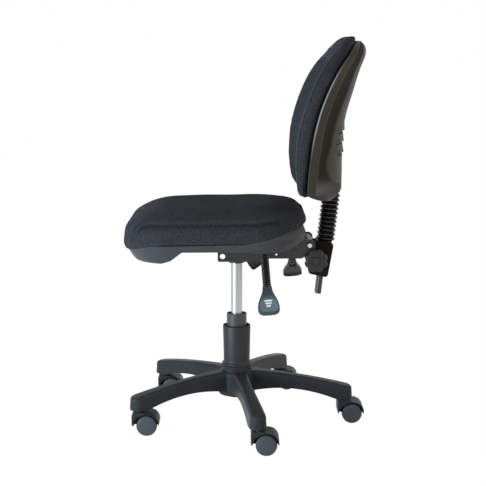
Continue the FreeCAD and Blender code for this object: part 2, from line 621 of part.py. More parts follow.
def crown_plan(degrees, extra=0):
    """A section of the seat's crown, as an ellipse rolls in towards the top."""
    a = math.radians(degrees)
    low = size("seat_low")
    lift = low + (size("seat_crown") - low) * math.sin(a)
    roll = 1 - math.cos(a)
    return seat_plan(lift, size("front_roll") * roll + extra, size("rear_roll") * roll + extra,
                     size("side_roll") * roll + extra)


def prism(points, half):
    """A solid spanning the whole width, from an outline of (y, z) points."""
    pts = [V(-half, y, z) for y, z in points]
    return Part.Face(Part.makePolygon(pts + [pts[0]])).extrude(V(2 * half, 0, 0))


def seat():
    low = size("seat_low")
    floor = size("board_floor")
    top = floor + size("board_thick")
    front = size("seat_front")
    rear = size("seat_rear")
    wall = size("shell_wall")
    welt = [(front - 50, low - 12), (front + 82, low - 3), (20, low), (80, low + 12), (rear + 1, low + 36),
            (rear + 90, low + 60)]

    plate = new_body("seat_plate")
    pad(plate, outline(sketch(plate, "XY_Plane", "board_floor-sheet_gauge"), [
        ("-plate_half", "plate_front", "12"), ("plate_half", "plate_front", "12"),
        ("plate_half", "plate_rear-20", "12"), ("plate_half*0.6", "plate_rear", "12"),
        ("-plate_half*0.6", "plate_rear", "12"), ("-plate_half", "plate_rear-20", "12")]), "sheet_gauge")
    cheek = "mech_half-sheet_gauge-1"
    ears = outline(sketch(plate, "YZ_Plane"), [
        ("seat_pivot_y-14", "seat_pivot_z-10", "9"), ("seat_pivot_y+14", "seat_pivot_z-10", "9"),
        ("seat_pivot_y+16", "board_floor-1"), ("seat_pivot_y-16", "board_floor-1")])
    pad(plate, ears, f"2*({cheek})", both=True)
    between = outline(sketch(plate, "YZ_Plane"), [
        ("seat_pivot_y-30", "seat_pivot_z-20"), ("seat_pivot_y+30", "seat_pivot_z-20"),
        ("seat_pivot_y+30", "board_floor-sheet_gauge"), ("seat_pivot_y-30", "board_floor-sheet_gauge")])
    pocket(plate, between, f"2*({cheek}-sheet_gauge)", both=True)
    pocket(plate, circle(sketch(plate, "YZ_Plane"), "seat_pivot_y", "seat_pivot_z", "pin_radius+running_gap"),
           "plate_half*2", both=True)
    drill = sketch(plate, "XY_Plane", "board_floor+1")
    spots = [(f"{s}seat_bolt_x", y) for s in ("", "-") for y in ("seat_bolt_front", "seat_bolt_rear")]
    for x, y in spots:
        circle(drill, x, y, "seat_bolt_radius+0.3")
    outline(drill, [("-30", "30", "10"), ("30", "30", "10"), ("30", "110", "10"), ("-30", "110", "10")])
    pocket(plate, drill, "sheet_gauge+2")

    bolts = []
    for n, (x, y) in enumerate(spots):
        bolt = new_body(f"seat_bolt_{n}", is_node=False)
        hexagon(bolt, "XY_Plane", "0", "seat_bolt_radius*1.9", "4", flip=True)
        pad(bolt, circle(sketch(bolt, "XY_Plane", "-1"), "0", "0", "seat_bolt_radius"),
            "board_thick+sheet_gauge")
        place(bolt, x, y, "board_floor-sheet_gauge-0.05")
        bolts.append(bolt)
    group("seat_bolts", bolts)

    places = [(f"{s}insert_x", y) for s in ("", "-") for y in ("insert_front", "insert_front+insert_pitch")]
    board = new_body("seat_board")
    pad(board, outline(sketch(board, "XY_Plane", "board_floor"), [
        ("-seat_half+32", "seat_front+36", "85"), ("seat_half-32", "seat_front+36", "85"),
        ("seat_half_rear-30", "seat_rear-51", "80"), ("-seat_half_rear+30", "seat_rear-51", "80")]),
        "board_thick")
    drill = sketch(board, "XY_Plane", "board_floor+board_thick+1")
    for x, y in spots:
        circle(drill, x, y, "seat_bolt_radius+running_gap")
    for x, y in places:
        circle(drill, x, y, "insert_bore+2.15")
    pocket(board, drill, "board_thick+5")
    drill = sketch(board, "XY_Plane", "board_floor+board_thick+1")
    for x, y in places:
        circle(drill, x, y, "insert_bore+7.65")
    pocket(board, drill, "2.5")
    inserts = []
    for n, (x, y) in enumerate(places):
        insert = turned(f"arm_insert_{n}", [
            ("insert_bore", "board_floor-3.5"), ("insert_bore+2.1", "board_floor-3.5"),
            ("insert_bore+2.1", "board_floor+board_thick-1.5"),
            ("insert_bore+7.6", "board_floor+board_thick-1.5"),
            ("insert_bore+7.6", "board_floor+board_thick"), ("insert_bore", "board_floor+board_thick")],
            is_node=False)
        place(insert, x, y, "0")
        inserts.append(insert)
    group("arm_inserts", inserts)

    def bowl(extra, drop, rise):
        rows = [seat_plan(low - 49 - drop, 31 + extra, 40 + extra, 18 + extra),
                seat_plan(low - 32, 17 + extra, 20 + extra, 10 + extra),
                seat_plan(low - 14, 6 + extra, 8 + extra, 4 + extra)]
        rows += [crown_plan(a, 1 + extra) for a in (0, 16, rise)]
        return Part.makeLoft(rows, True, False)

    outer = bowl(0, 0, 34)
    shell = outer.cut(bowl(wall, 3, 36))
    under = floor - 3.5
    panel = Part.Face(seat_plan(under, 9, 11, 7)).extrude(V(0, 0, wall))
    opening = Part.makeBox(2 * size("plate_half") + 16, size("plate_rear") - size("plate_front") + 60, 20,
                           V(-size("plate_half") - 8, size("plate_front") - 10, under - 8))
    heel = rear - 42
    slope = prism([(heel, under), (rear - 5, under + 15), (rear - 5, under + 15 + wall),
                   (heel, under + wall)], 260)
    shell = shell.fuse([panel, slope.common(bowl(1, 0, 34))]).cut(opening)
    for x, y in places:
        shell = shell.cut(Part.makeCylinder(size("insert_bore") + 2.2, 20, V(size(x), size(y), under - 8)))
    edge = [(front - 60, low - 47), (-172, low - 46), (-150, low - 38), (-124, under), (30, under),
            (52, under - 5), (100, under - 5), (124, under), (rear - 5, under + 15), (rear + 60, under + 38),
            (rear + 60, low - 120), (front - 60, low - 120)]
    over = welt + [(rear + 90, low + 200), (front - 50, low + 200)]
    shell = shell.cut(prism(edge, 320)).cut(prism(over, 320))
    feature("seat_shell", shell.removeSplitter())

    rows = [seat_plan(low - 13, 5, 6, 6)] + [crown_plan(a) for a in (0, 20, 38, 54, 68, 80, 90)]
    foam = Part.makeLoft(rows, True, False)
    below = prism([(y, z + 0.3) for y, z in welt] + [(rear + 90, low - 200), (front - 50, low - 200)], 320)
    core = bowl(wall + 0.6, 3, 36)
    core = core.cut(Part.makeBox(800, 800, top + 0.3, V(-400, -400, 0)))
    rise = 15 / (rear - 5 - heel) * (rear + 40 - heel)
    core = core.cut(prism([(heel, low - 90), (rear + 40, low - 90), (rear + 40, under + wall + 0.4 + rise),
                           (heel, under + wall + 0.4)], 320))
    foam = foam.cut(below.cut(core))
    clear = Part.Face(rounded_wire([
        (-size("seat_half") + 31, front + 35, 86), (size("seat_half") - 31, front + 35, 86),
        (size("seat_half_rear") - 29, rear - 50, 81), (-size("seat_half_rear") + 29, rear - 50, 81)],
        low - 60)).extrude(V(0, 0, top + 0.3 - low + 60))
    feature("seat_cushion", foam.cut(clear).removeSplitter())


BACK_LEVELS = (-0.985, -0.9, -0.74, -0.5, -0.2, 0.15, 0.45, 0.7, 0.86, 0.95, 0.987)


def back_section(u, rise=0):
    """Height, half width and depths of the back at a level, from -1 at its foot to 1 at its top."""
    low = size("back_low")
    high = size("back_high") + rise
    z = (low + high) / 2 + u * (high - low) / 2
    power = size("outline_power")
    k = (1 - abs(u) ** power) ** (1 / power)
    bend = max(0, z - size("back_bend_z"))
    radius = size("back_bend_radius")
    rear = size("back_y") + radius - math.sqrt(radius ** 2 - bend ** 2)
    wrap = (size("back_wrap") - size("back_taper") * (z - 600)) * (0.45 + 0.55 * k)
    edge = size("back_y") + radius - math.sqrt(radius ** 2 - bend ** 2) - wrap
    if u > 0.7:
        rear -= 34 * (1 - math.sqrt(1 - ((u - 0.7) / 0.3) ** 2))
    thick = size("foam_thick") * (1 - 0.25 * u ** 6 if u > 0 else 1 - 0.92 * u * u)
    return z, size("back_half") * k, k, edge, rear, thick


def closed(points_and_mids, z):
    """Closed level wire; each entry is (x, y) and, where its next side is an arc, a third point."""
    edges = []
    n = len(points_and_mids)
    for i, entry in enumerate(points_and_mids):
        p = V(entry[0], entry[1], z)
        q = V(points_and_mids[(i + 1) % n][0], points_and_mids[(i + 1) % n][1], z)
        if len(entry) > 2:
            edges.append(Part.Arc(p, V(entry[2], entry[3], z), q).toShape())
        else:
            edges.append(Part.makeLine(p, q))
    return Part.Wire(edges)


def shell_wire(u, inset, lift=0):
    z, w, k, edge, rear, thick = back_section(u)
    w -= inset
    deep = rear - edge - 20 * k
    face = edge if not inset else edge - 30
    return closed([
        (-w, face), (w, face), (w, edge + 4 * k), (0.93 * w, rear - deep - inset),
        (0.66 * w, rear - 0.66 * deep - inset, 0, rear - inset), (-0.66 * w, rear - 0.66 * deep - inset),
        (-0.93 * w, rear - deep - inset), (-w, edge + 4 * k)], z + lift)


def foam_wire(u):
    z, w, k, edge, rear, thick = back_section(u, size("foam_rise"))
    hollow = size("foam_hollow") * k * k
    bulge = size("board_bulge") * k * k
    roll = min(26, 0.55 * thick) * (0.3 + 0.7 * k)
    back = edge - 0.3
    front = back - thick
    seam = back - 0.66 * thick
    s = math.sqrt(0.5)
    return closed([
        (w, back), (w - 1, seam, w - 1 - roll * (1 - s), seam - (seam - front) * s),
        (w - 1 - roll, front, 0, front + hollow),
        (-w + 1 + roll, front, -w + 1 + roll * (1 - s), seam - (seam - front) * s), (-w + 1, seam),
        (-w, back, 0, back + bulge)], z)


def board_wire(u):
    z, w, k, edge, rear, thick = back_section(u, size("foam_rise"))
    bulge = size("board_bulge") * k * k
    gauge = size("back_board_thick")
    half = 0.76 * w - size("shell_wall")
    radius = (w * w + bulge * bulge) / (2 * bulge)
    front = edge + bulge - radius + math.sqrt(radius ** 2 - half ** 2)
    return closed([
        (half, front, 0, edge + bulge), (-half, front), (-half, front + gauge, 0, edge + bulge + gauge),
        (half, front + gauge)], z)


def arm_frame():
    return FreeCAD.Placement(V(0, size("bar_y"), size("bar_z")), FreeCAD.Rotation(V(1, 0, 0), -size("lean")))


def on_arm(body):
    place(body, "0", "bar_y", "bar_z", V(1, 0, 0), -size("lean"))


PIVOT_Y = "((pivot_y-bar_y)*cos(lean*1deg)-(pivot_z-bar_z)*sin(lean*1deg))"
PIVOT_Z = "((pivot_y-bar_y)*sin(lean*1deg)+(pivot_z-bar_z)*cos(lean*1deg))"


def slab(sk, half_x, low_y, high_y, radius):
    return outline(sk, [(f"-({half_x})", low_y, radius), (half_x, low_y, radius), (half_x, high_y, radius),
                        (f"-({half_x})", high_y, radius)])


def back_arm():
    bracket = new_body("back_bracket")
    wide = "bar_width/2+slide_gap"
    deep = "bar_thick/2+slide_gap"
    pad(bracket, slab(sketch(bracket, "XY_Plane", "clamp_low"), wide + "+sleeve_wall",
                      f"-({deep})-sleeve_wall", deep + "+sleeve_wall", "9"), "clamp_high-clamp_low")
    for start in ("cheek_x", "-cheek_x-cheek_gauge"):
        pad(bracket, outline(sketch(bracket, "YZ_Plane", start), [
            (PIVOT_Y + "-11", PIVOT_Z + "+10", "8"), (PIVOT_Y + "-11", PIVOT_Z + "-12", "9"),
            ("stud_y-10", "-20", "9"), ("stud_y-2", "clamp_low+6", "6"), ("-2", "clamp_low+6"),
            ("-2", "clamp_high-4"), ("-22", "clamp_high-4", "6")]), "cheek_gauge")
    pad(bracket, circle(sketch(bracket, "YZ_Plane"), PIVOT_Y, PIVOT_Z, "bolt_radius+5"),
        "2*(mech_half-sheet_gauge-0.5)", both=True)
    pocket(bracket, slab(sketch(bracket, "XY_Plane", "clamp_high+5"), wide, f"-({deep})", deep, "7"),
           "clamp_high-clamp_low+10")
    drill = sketch(bracket, "YZ_Plane")
    circle(drill, PIVOT_Y, PIVOT_Z, "bolt_radius+running_gap")
    circle(drill, "stud_y", "0", "shaft_radius+0.3")
    pocket(bracket, drill, "mech_half*3", both=True)
    slit = outline(sketch(bracket, "XZ_Plane"), [
        ("-2", "clamp_low-2"), ("2", "clamp_low-2"), ("2", "clamp_high-14"), ("-2", "clamp_high-14")])
    pocket(bracket, slit, "18", flip=True)
    on_arm(bracket)

    cover = new_body("bracket_cover")
    side = outline(sketch(cover, "YZ_Plane"), [
        ("-32", "clamp_low+2", "8"), ("17", "clamp_low-3", "8"), ("22", "clamp_high-3", "8"),
        ("-20", "clamp_high+1", "8"), ("-32", "14", "10")])
    block = pad(cover, side, "cover_half*2", both=True)
    half = size("cover_half")
    soften(cover, block, "3", lambda e: abs(abs(mid(e).x) - half) < 0.01)
    pocket(cover, slab(sketch(cover, "XY_Plane", "clamp_high+10"), wide + "+sleeve_wall+0.3",
                       f"-({deep})-sleeve_wall-0.3", deep + "+sleeve_wall+0.3", "9"), "120")
    for start in ("cheek_x-0.4", "-cheek_x-cheek_gauge-0.4"):
        pocket(cover, outline(sketch(cover, "YZ_Plane", start), [
            ("-60", PIVOT_Z + "+16"), ("-60", "-60"), ("2", "-60"), ("2", PIVOT_Z + "+16")]),
            "cheek_gauge+0.8", flip=True)
    bore = circle(sketch(cover, "YZ_Plane"), "stud_y", "0", "shaft_radius+0.3")
    pocket(cover, bore, "mech_half*3", both=True)
    pocket(cover, circle(sketch(cover, "YZ_Plane", "-cover_half+7"), "stud_y", "0", "8.5"), "20")
    on_arm(cover)

    nut = new_body("clamp_nut")
    hexagon(nut, "YZ_Plane", "-cover_half+1", "7.8", "5.8")
    bore = circle(sketch(nut, "YZ_Plane"), "0", "0", "shaft_radius+running_gap")
    pocket(nut, bore, "mech_half*3", both=True)
    frame = arm_frame()
    stud_at = frame.multVec(V(0, size("stud_y"), 0))
    nut.Placement = FreeCAD.Placement(stud_at, frame.Rotation)

    stud = turned_across("clamp_stud", [
        ("-cover_half-4", "0"), ("-cover_half-4", "shaft_radius", "1"),
        ("knob_x+knob_thick-4", "shaft_radius", "0.5"), ("knob_x+knob_thick-4", "0")])
    stud.Placement = FreeCAD.Placement(stud_at, frame.Rotation)
    knob = new_body("clamp_knob")
    disc = pad(knob, circle(sketch(knob, "XY_Plane", "knob_x"), "0", "0", "knob_radius"), "knob_thick")
    scoop = pocket(knob, circle(sketch(knob, "XY_Plane", "knob_x+knob_thick+1"), "0", "knob_radius+5.5", "9"),
                   "knob_thick+2")
    lobes = around(knob, "lobe_count", [scoop])
    ends = (size("knob_x"), size("knob_x+knob_thick"))
    soften(knob, lobes, "2", lambda e: min(abs(mid(e).z - ends[0]), abs(mid(e).z - ends[1])) < 0.01)
    pad(knob, circle(sketch(knob, "XY_Plane", "cover_half+0.3"), "0", "0", "shaft_radius+7"),
        "knob_x-cover_half+1")
    pad(knob, circle(sketch(knob, "XY_Plane", "knob_x+knob_thick-1"), "0", "0", "9"), "2.2")
    bore = circle(sketch(knob, "XY_Plane", "knob_x+knob_thick-3.9"), "0", "0", "shaft_radius+running_gap")
    pocket(knob, bore, "knob_thick*4")
    knob.Placement = FreeCAD.Placement(stud_at, frame.Rotation.multiply(FreeCAD.Rotation(V(0, 1, 0), 90)))

    upright = new_body("back_upright")
    section = slab(sketch(upright, "XY_Plane", "bar_low"), "bar_width/2", "-bar_thick/2", "bar_thick/2", "7")
    pad(upright, section, "bar_high-bar_low")
    pocket(upright, slab(sketch(upright, "XY_Plane", "bar_high+1"), "bar_width/2-2.5", "-bar_thick/2+2.5",
                         "bar_thick/2-2.5", "4.6"), "bar_high-bar_low-2")
    on_arm(upright)

    mount = new_body("back_mount")
    face = "bar_thick/2+14.9"
    plate = slab(sketch(mount, "XZ_Plane", face), "50", "bar_high-44", "bar_high+37", "10")
    pad(mount, plate, "5", flip=True)
    spine = slab(sketch(mount, "XZ_Plane", face + "-4"), "bar_width/2-6", "bar_high-42", "bar_high-4", "3")
    pad(mount, spine, "10.8", flip=True)
    drill = sketch(mount, "XZ_Plane", face + "+2")
    heads = [(f"{s}38", f"bar_high{d}") for s in ("", "-") for d in ("-32", "+25")]
    for x, z in heads:
        circle(drill, x, z, "3.3")
    pocket(mount, drill, "9")
    on_arm(mount)

    screws = []
    for n, (x, z) in enumerate(heads):
        screw = new_body(f"back_screw_{n}", is_node=False)
        pad(screw, circle(sketch(screw, "XZ_Plane", "0"), "0", "0", "5.2"), "3.2", flip=True)
        pad(screw, circle(sketch(screw, "XZ_Plane", "-1"), "0", "0", "3"), "14")
        at = frame.multVec(V(size(x), -size(face) + 5.05, size(z)))
        screw.Placement = FreeCAD.Placement(at, frame.Rotation)
        screws.append(screw)
    group("back_screws", screws)

    low = size("clamp_high") + 0.75
    high = size("bellows_high")
    count = int(size("fold_count"))
    pitch = (high - low) / count
    depth = size("bellows_depth") / 2
    width = size("bellows_width") / 2
    rib = size("bellows_rib")

    def fold(z, inset):
        y = -1.0
        w, d, r = width - inset, depth - inset, 15 - inset
        return rounded_wire([(-w, y - d, r), (w, y - d, r), (w, y + d, r), (-w, y + d, r)], z)

    rows = []
    for k in range(count):
        z = low + k * pitch
        rows += [fold(z, rib), fold(z + 0.3 * pitch, 0), fold(z + 0.7 * pitch, 0)]
    rows.append(fold(high, rib))
    tube = Part.makeLoft(rows, True, True)
    bore = Part.Face(fold(low - 1, rib + 2.5)).extrude(V(0, 0, high - low + 2))
    feature("bellows", tube.cut(bore), frame)
    return frame, heads, face


def back(frame, heads, face):
    outer = Part.makeLoft([shell_wire(u, 0) for u in BACK_LEVELS], True, False)
    wall = size("shell_wall")
    last = len(BACK_LEVELS) - 1
    ends = {0: -1, last: -3}
    rows = [shell_wire(u, wall, ends.get(i, 0)) for i, u in enumerate(BACK_LEVELS)]
    inner = Part.makeLoft(rows, True, False)
    y = size("back_y")
    low = size("back_low")
    foot = prism([(y - 70, low - 30), (y + 40, low - 30), (y + 40, low + 71), (y + 2, low + 37),
                  (y - 40, low - 2)], 300)
    reach = size("bellows_high") - 90
    gate = Part.makeBox(size("bellows_width") + 4, size("bellows_depth") + 4, reach + 3,
                        V(-size("bellows_width") / 2 - 2, -size("bellows_depth") / 2 - 3, 90))
    gate.Placement = frame
    shell = outer.cut(inner).cut(foot).cut(gate)
    feature("back_shell", shell)
    board = Part.makeLoft([board_wire(u) for u in BACK_LEVELS[1:-3]], True, False)
    for x, z in heads:
        hole = Part.makeCylinder(3.05, 40, V(size(x), -size(face) + 10, size(z)), V(0, -1, 0))
        hole.Placement = frame.multiply(hole.Placement)
        board = board.cut(hole)
    feature("back_board", board)
    foam = Part.makeLoft([foam_wire(u) for u in BACK_LEVELS], True, False)
    rim = shell.copy()
    rim.translate(V(0, -0.4, 0))
    feature("back_cushion", foam.cut([shell, rim]))


star_base()
gas_lift()
thrust_bearing()
for number in range(int(size("arm_count"))):
    castor(number)
mechanism()
levers()
seat()
back(*back_arm())
doc.recompute()

for obj in doc.Objects:
    if any(state in ("Invalid", "Error") for state in obj.State):
        raise ValueError(f"{obj.Label} did not compute")
os.makedirs("parts", exist_ok=True)
for obj in nodes:
    if obj.Shape.isNull() or not obj.Shape.isValid() or not obj.Shape.Solids:
        raise ValueError(f"{obj.Label} has no sound solid")
    obj.Shape.exportStep(f"parts/{obj.Label}.step")
print(len(nodes), "pieces written")
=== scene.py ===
import json
import math

import bmesh
import bpy
from mathutils import Matrix, Vector


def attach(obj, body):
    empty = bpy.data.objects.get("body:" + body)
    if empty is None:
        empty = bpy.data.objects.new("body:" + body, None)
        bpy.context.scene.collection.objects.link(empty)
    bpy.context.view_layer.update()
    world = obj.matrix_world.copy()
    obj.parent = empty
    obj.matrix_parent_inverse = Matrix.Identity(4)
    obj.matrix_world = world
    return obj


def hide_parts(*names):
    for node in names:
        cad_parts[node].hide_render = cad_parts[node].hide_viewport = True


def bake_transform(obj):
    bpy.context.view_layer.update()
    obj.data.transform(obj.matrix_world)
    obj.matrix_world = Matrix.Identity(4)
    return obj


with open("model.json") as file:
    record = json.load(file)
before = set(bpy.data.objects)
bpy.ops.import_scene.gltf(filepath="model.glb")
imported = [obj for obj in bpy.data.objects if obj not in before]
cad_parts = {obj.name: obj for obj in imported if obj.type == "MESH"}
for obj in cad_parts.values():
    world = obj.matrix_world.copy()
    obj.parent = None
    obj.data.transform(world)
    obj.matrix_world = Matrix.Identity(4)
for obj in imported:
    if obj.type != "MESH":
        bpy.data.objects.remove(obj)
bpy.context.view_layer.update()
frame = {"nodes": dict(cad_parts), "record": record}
scene = bpy.context.scene
nodes = frame["nodes"]
MM = 0.001
MERGED = 2e-6
# The back arm's own frame; its upright rises along Z.
ARM = Matrix.Translation((0, 0.213, 0.414)) @ Matrix.Rotation(math.radians(-6.5), 4, "X")


class Wire:
    """A socket in a finish; sums and products on it add Math nodes."""

    def __init__(self, look, socket):
        self.look = look
        self.socket = socket

    def math(self, operation, first, second=0.0):
        return self.look.node("Math", {"operation": operation}, {0: first, 1: second})

    def __add__(self, other):
        return self.math("ADD", self, other)

    def __sub__(self, other):
        return self.math("SUBTRACT", self, other)

    def __rsub__(self, other):
        return self.math("SUBTRACT", other, self)

    def __mul__(self, other):
        return self.math("MULTIPLY", self, other)

    def __lt__(self, other):
        return self.math("LESS_THAN", self, other)

    __radd__ = __add__
    __rmul__ = __mul__

    def least(self, other):
        return self.math("MINIMUM", self, other)

    def most(self, other):
        return self.math("MAXIMUM", self, other)

    def sine(self):
        return self.math("SINE", self)


class Look:
    """One finish of the chair: a Principled surface and the nodes that vary it."""

    def __init__(self, name, **constants):
        self.material = bpy.data.materials.new(name)
        self.material.use_nodes = True
        self.tree = self.material.node_tree
        self.tree.nodes.clear()
        self.surface = self.tree.nodes.new("ShaderNodeBsdfPrincipled")
        end = self.tree.nodes.new("ShaderNodeOutputMaterial")
        self.tree.links.new(self.surface.outputs[0], end.inputs["Surface"])
        for key, value in constants.items():
            self.surface.inputs[key.replace("_", " ")].default_value = value

    def node(self, kind, settings=None, sockets=None, output=0):
        made = self.tree.nodes.new("ShaderNode" + kind)
        for key, value in (settings or {}).items():
            setattr(made, key, value)
        for key, value in (sockets or {}).items():
            self.feed(made.inputs[key], value)
        return Wire(self, made.outputs[output])

    def feed(self, socket, value):
        if isinstance(value, Wire):
            self.tree.links.new(value.socket, socket)
        else:
            socket.default_value = value

    def set(self, **sockets):
        for key, value in sockets.items():
            self.feed(self.surface.inputs[key.replace("_", " ")], value)
        return self

    def stored(self, name):
        """A number that the mesh keeps for every point."""
        return self.node("Attribute", {"attribute_name": name}, None, 2)

    def fed(self, key):
        """What already feeds a socket of the surface."""
        return Wire(self, self.surface.inputs[key].links[0].from_socket)

    def mixed(self, amount, other):
        """Shows another shader in place of the surface where amount is 1."""
        own = Wire(self, self.surface.outputs[0])
        both = self.node("MixShader", None, {0: amount, 1: own, 2: other})
        end = next(n for n in self.tree.nodes if n.type == "OUTPUT_MATERIAL")
        self.tree.links.new(both.socket, end.inputs["Surface"])

    def painted_shade_matt(self, amount, shade):
        """Paints shade: shows a plain matt colour where amount is 1."""
        self.mixed(amount, self.node("BsdfDiffuse", None, {"Color": (*shade, 1), "Roughness": 0.6}))

    def grain(self, size, detail=2.0, stretch=(1, 1, 1)):
        """Noise whose lumps are about this many metres across."""
        where = self.node("TexCoord", output=3)
        place = self.node("Mapping", None, {"Vector": where, "Scale": stretch})
        return self.node("TexNoise", None, {"Vector": place, "Scale": 0.6 / size, "Detail": detail})

    def tint(self, amount, low, high):
        """A colour between two; the low one may come from another node."""
        low = low if isinstance(low, Wire) else (*low, 1)
        return self.node("Mix", {"data_type": "RGBA"}, {0: amount, 6: low, 7: (*high, 1)}, 2)

    def bumped(self, height, depth):
        return self.node("Bump", None, {"Height": height, "Distance": depth, "Strength": 1.0})


def level(grey):
    """A display value from 0 to 255 as a linear one."""
    v = grey / 255
    return v / 12.92 if v <= 0.04045 else ((v + 0.055) / 1.055) ** 2.4


def colour(r, g, b):
    return (level(r), level(g), level(b))


def scaled(shade, share):
    return tuple(c * share for c in shade)


def moulded(name, shade, rough, pit=0.0006, depth=0.00006, spread=0.1, gloss=0.3):
    """Moulded plastic: fine spark texture, a slow drift of tone and slightly uneven gloss."""
    look = Look(name, IOR=1.46, Specular_IOR_Level=gloss)
    drift = look.grain(0.09, 3)
    pits = look.grain(pit, 1)
    look.set(Base_Color=look.tint(drift, scaled(shade, 1 - spread), scaled(shade, 1 + spread)),
             Roughness=rough - 0.06 + 0.12 * look.grain(0.02, 4),
             Normal=look.bumped(pits, depth))
    return look


def shell_moulding(name, shade, bright, rough):
    """Grained shell plastic: painted shade, matt and dark, in the hollow band, and along its lip a painted
    highlight, a paler colour on a truly glossier surface.
    """
    look = moulded(name, shade, rough, pit=0.0009, depth=0.00005, gloss=0.08)
    lip = look.stored("lip")
    # Painted highlight: where the mesh marks the lip, the colour turns paler; the lip is also made glossier.
    look.set(Base_Color=look.tint(lip, look.fed("Base Color"), bright),
             Roughness=look.fed("Roughness") - lip * 0.2)
    # Painted shade: where the mesh marks the hollow band, the shell shows a darker matt colour.
    look.painted_shade_matt(look.stored("hollow") * 0.86, scaled(shade, 0.52))
    return look


def grip_moulding(name, shade, pale):
    """Grip plastic with a painted highlight: a paler field towards the end of its face."""
    look = moulded(name, shade, 0.42, depth=0.00004, gloss=0.25)
    # Painted highlight: the colour turns paler where the mesh marks the face.
    look.set(Base_Color=look.tint(look.stored("face"), look.fed("Base Color"), pale))
    return look


def pivot_metal(name):
    """Plated bolt face on a blackened washer, about the back pivot's axis."""
    look = Look(name)
    where = look.node("TexCoord", output=3)
    axis_y, axis_z, face_radius = 0.178, 0.452, 0.0052
    y = look.node("SeparateXYZ", None, {0: where}, 1) - axis_y
    z = look.node("SeparateXYZ", None, {0: where}, 2) - axis_z
    face = (y * y + z * z) < face_radius ** 2
    cloud = look.grain(0.004, 3)
    look.set(Base_Color=look.tint(face, (0.012, 0.012, 0.012), (0.62, 0.63, 0.64)), Metallic=face,
             Roughness=0.32 + 0.12 * cloud, Normal=look.bumped(cloud, 0.00005))
    return look


def coated(name, shade, rough):
    """Powder-coated steel: a low orange peel and a faint, slow drift of paler tone."""
    look = Look(name, IOR=1.5)
    peel = look.grain(0.0016, 1)
    drift = look.grain(0.05, 4)
    light = tuple(c * 1.25 + 0.002 for c in shade)
    look.set(Base_Color=look.tint(drift, shade, light), Roughness=rough - 0.05 + 0.1 * drift,
             Normal=look.bumped(peel, 0.00008))
    return look


def metal(name, shade, rough, stretch=(1, 1, 1)):
    """Bare or plated metal with drawing marks along one axis."""
    look = Look(name)
    marks = look.grain(0.0008, 3, stretch)
    cloud = look.grain(0.03, 3)
    look.set(Base_Color=look.tint(cloud, scaled(shade, 0.86), shade), Metallic=1.0,
             Roughness=rough - 0.06 + 0.12 * marks, Normal=look.bumped(marks, 0.00002))
    return look


def soft_rubber(name, shade, rough):
    """Clouded rubber, with painted shade, matt and black, in the hollows between its folds."""
    look = Look(name, IOR=1.5)
    cloud = look.grain(0.015, 4)
    look.set(Base_Color=look.tint(cloud, shade, scaled(shade, 1.5)), Roughness=rough - 0.08 + 0.16 * cloud,
             Normal=look.bumped(look.grain(0.0008, 2), 0.00005))
    # Painted shade: a darker matt colour where the mesh marks hollows.
    look.painted_shade_matt(look.stored("hollow") * 0.8, scaled(shade, 0.6))
    return look


def woven(name, dark, light):
    """Plain weave cloth of crossing yarns, with slubs and a soft nap seen edge-on, and a painted highlight and
    painted shade where the mesh marks its creases.
    """
    look = Look(name, Sheen_Weight=0.04, Sheen_Roughness=0.5, Sheen_Tint=(0.55, 0.62, 0.75, 1),
                Specular_IOR_Level=0.06)
    slub = look.grain(0.0024, 3)
    fleck = look.grain(0.0010, 2)
    cloud = look.grain(0.06, 3)
    where = look.node("TexCoord", output=3)
    x, y, z = (look.node("SeparateXYZ", None, {0: where}, k) for k in range(3))
    yarn_pitch = 0.0024
    turn = 2 * math.pi / yarn_pitch
    warp = ((x + y * 0.35) * turn).sine()
    weft = ((z + y) * turn).sine()
    yarn = warp * weft * 0.5 + 0.5
    # Painted light: the mesh's edge number lightens the cloth along a crease and darkens it in the groove
    # beside it.
    shade = (slub * 0.5 + fleck * 0.35 + yarn * 0.15 - 0.28) * 2.2 + look.stored("edge") * 0.28
    look.set(Base_Color=look.tint(shade.most(0.0).least(1.0), dark, light),
             Roughness=0.86 + 0.1 * cloud,
             Normal=look.bumped(yarn * 0.6 + fleck * 0.8, 0.00035))
    return look


def plywood(name):
    """Birch ply, its layers lying flat."""
    look = Look(name, IOR=1.45)
    plies = look.grain(0.004, 4, (1, 1, 12))
    look.set(Base_Color=look.tint(plies, (0.28, 0.17, 0.08), (0.55, 0.38, 0.2)), Roughness=0.62 + 0.1 * plies,
             Normal=look.bumped(plies, 0.0001))
    return look


FABRIC = woven("charcoal_weave", colour(24, 26, 29), colour(72, 75, 81))
# The shell's second, pale colour is a painted highlight along its lip.
SHELL = shell_moulding("shell_grey", colour(67, 65, 61), colour(150, 158, 166), 0.46)
# A lighter, cooler copy of the shell plastic: painted cool light on the seat shell.
SEAT_SHELL_PAINTED_LIGHT = moulded("seat_shell_painted_light", colour(67, 70, 75), 0.44, pit=0.0009, depth=0.00005, gloss=0.12)
BASE = moulded("base_grey", colour(51, 54, 58), 0.36, pit=0.0012, depth=0.00010, spread=0.14, gloss=0.08)
SHROUD = moulded("shroud_grey", colour(46, 47, 50), 0.46, pit=0.0008, spread=0.12, gloss=0.24)
WHEEL = moulded("wheel_grey", colour(70, 77, 85), 0.42, depth=0.00004, spread=0.12, gloss=0.25)
HOOD = moulded("hood_grey", colour(50, 53, 57), 0.42, pit=0.0008, spread=0.12, gloss=0.12)
# The near grip's second, pale colour is a painted highlight on its face.
PADDLE = grip_moulding("paddle_grey", colour(68, 75, 83), colour(118, 129, 140))
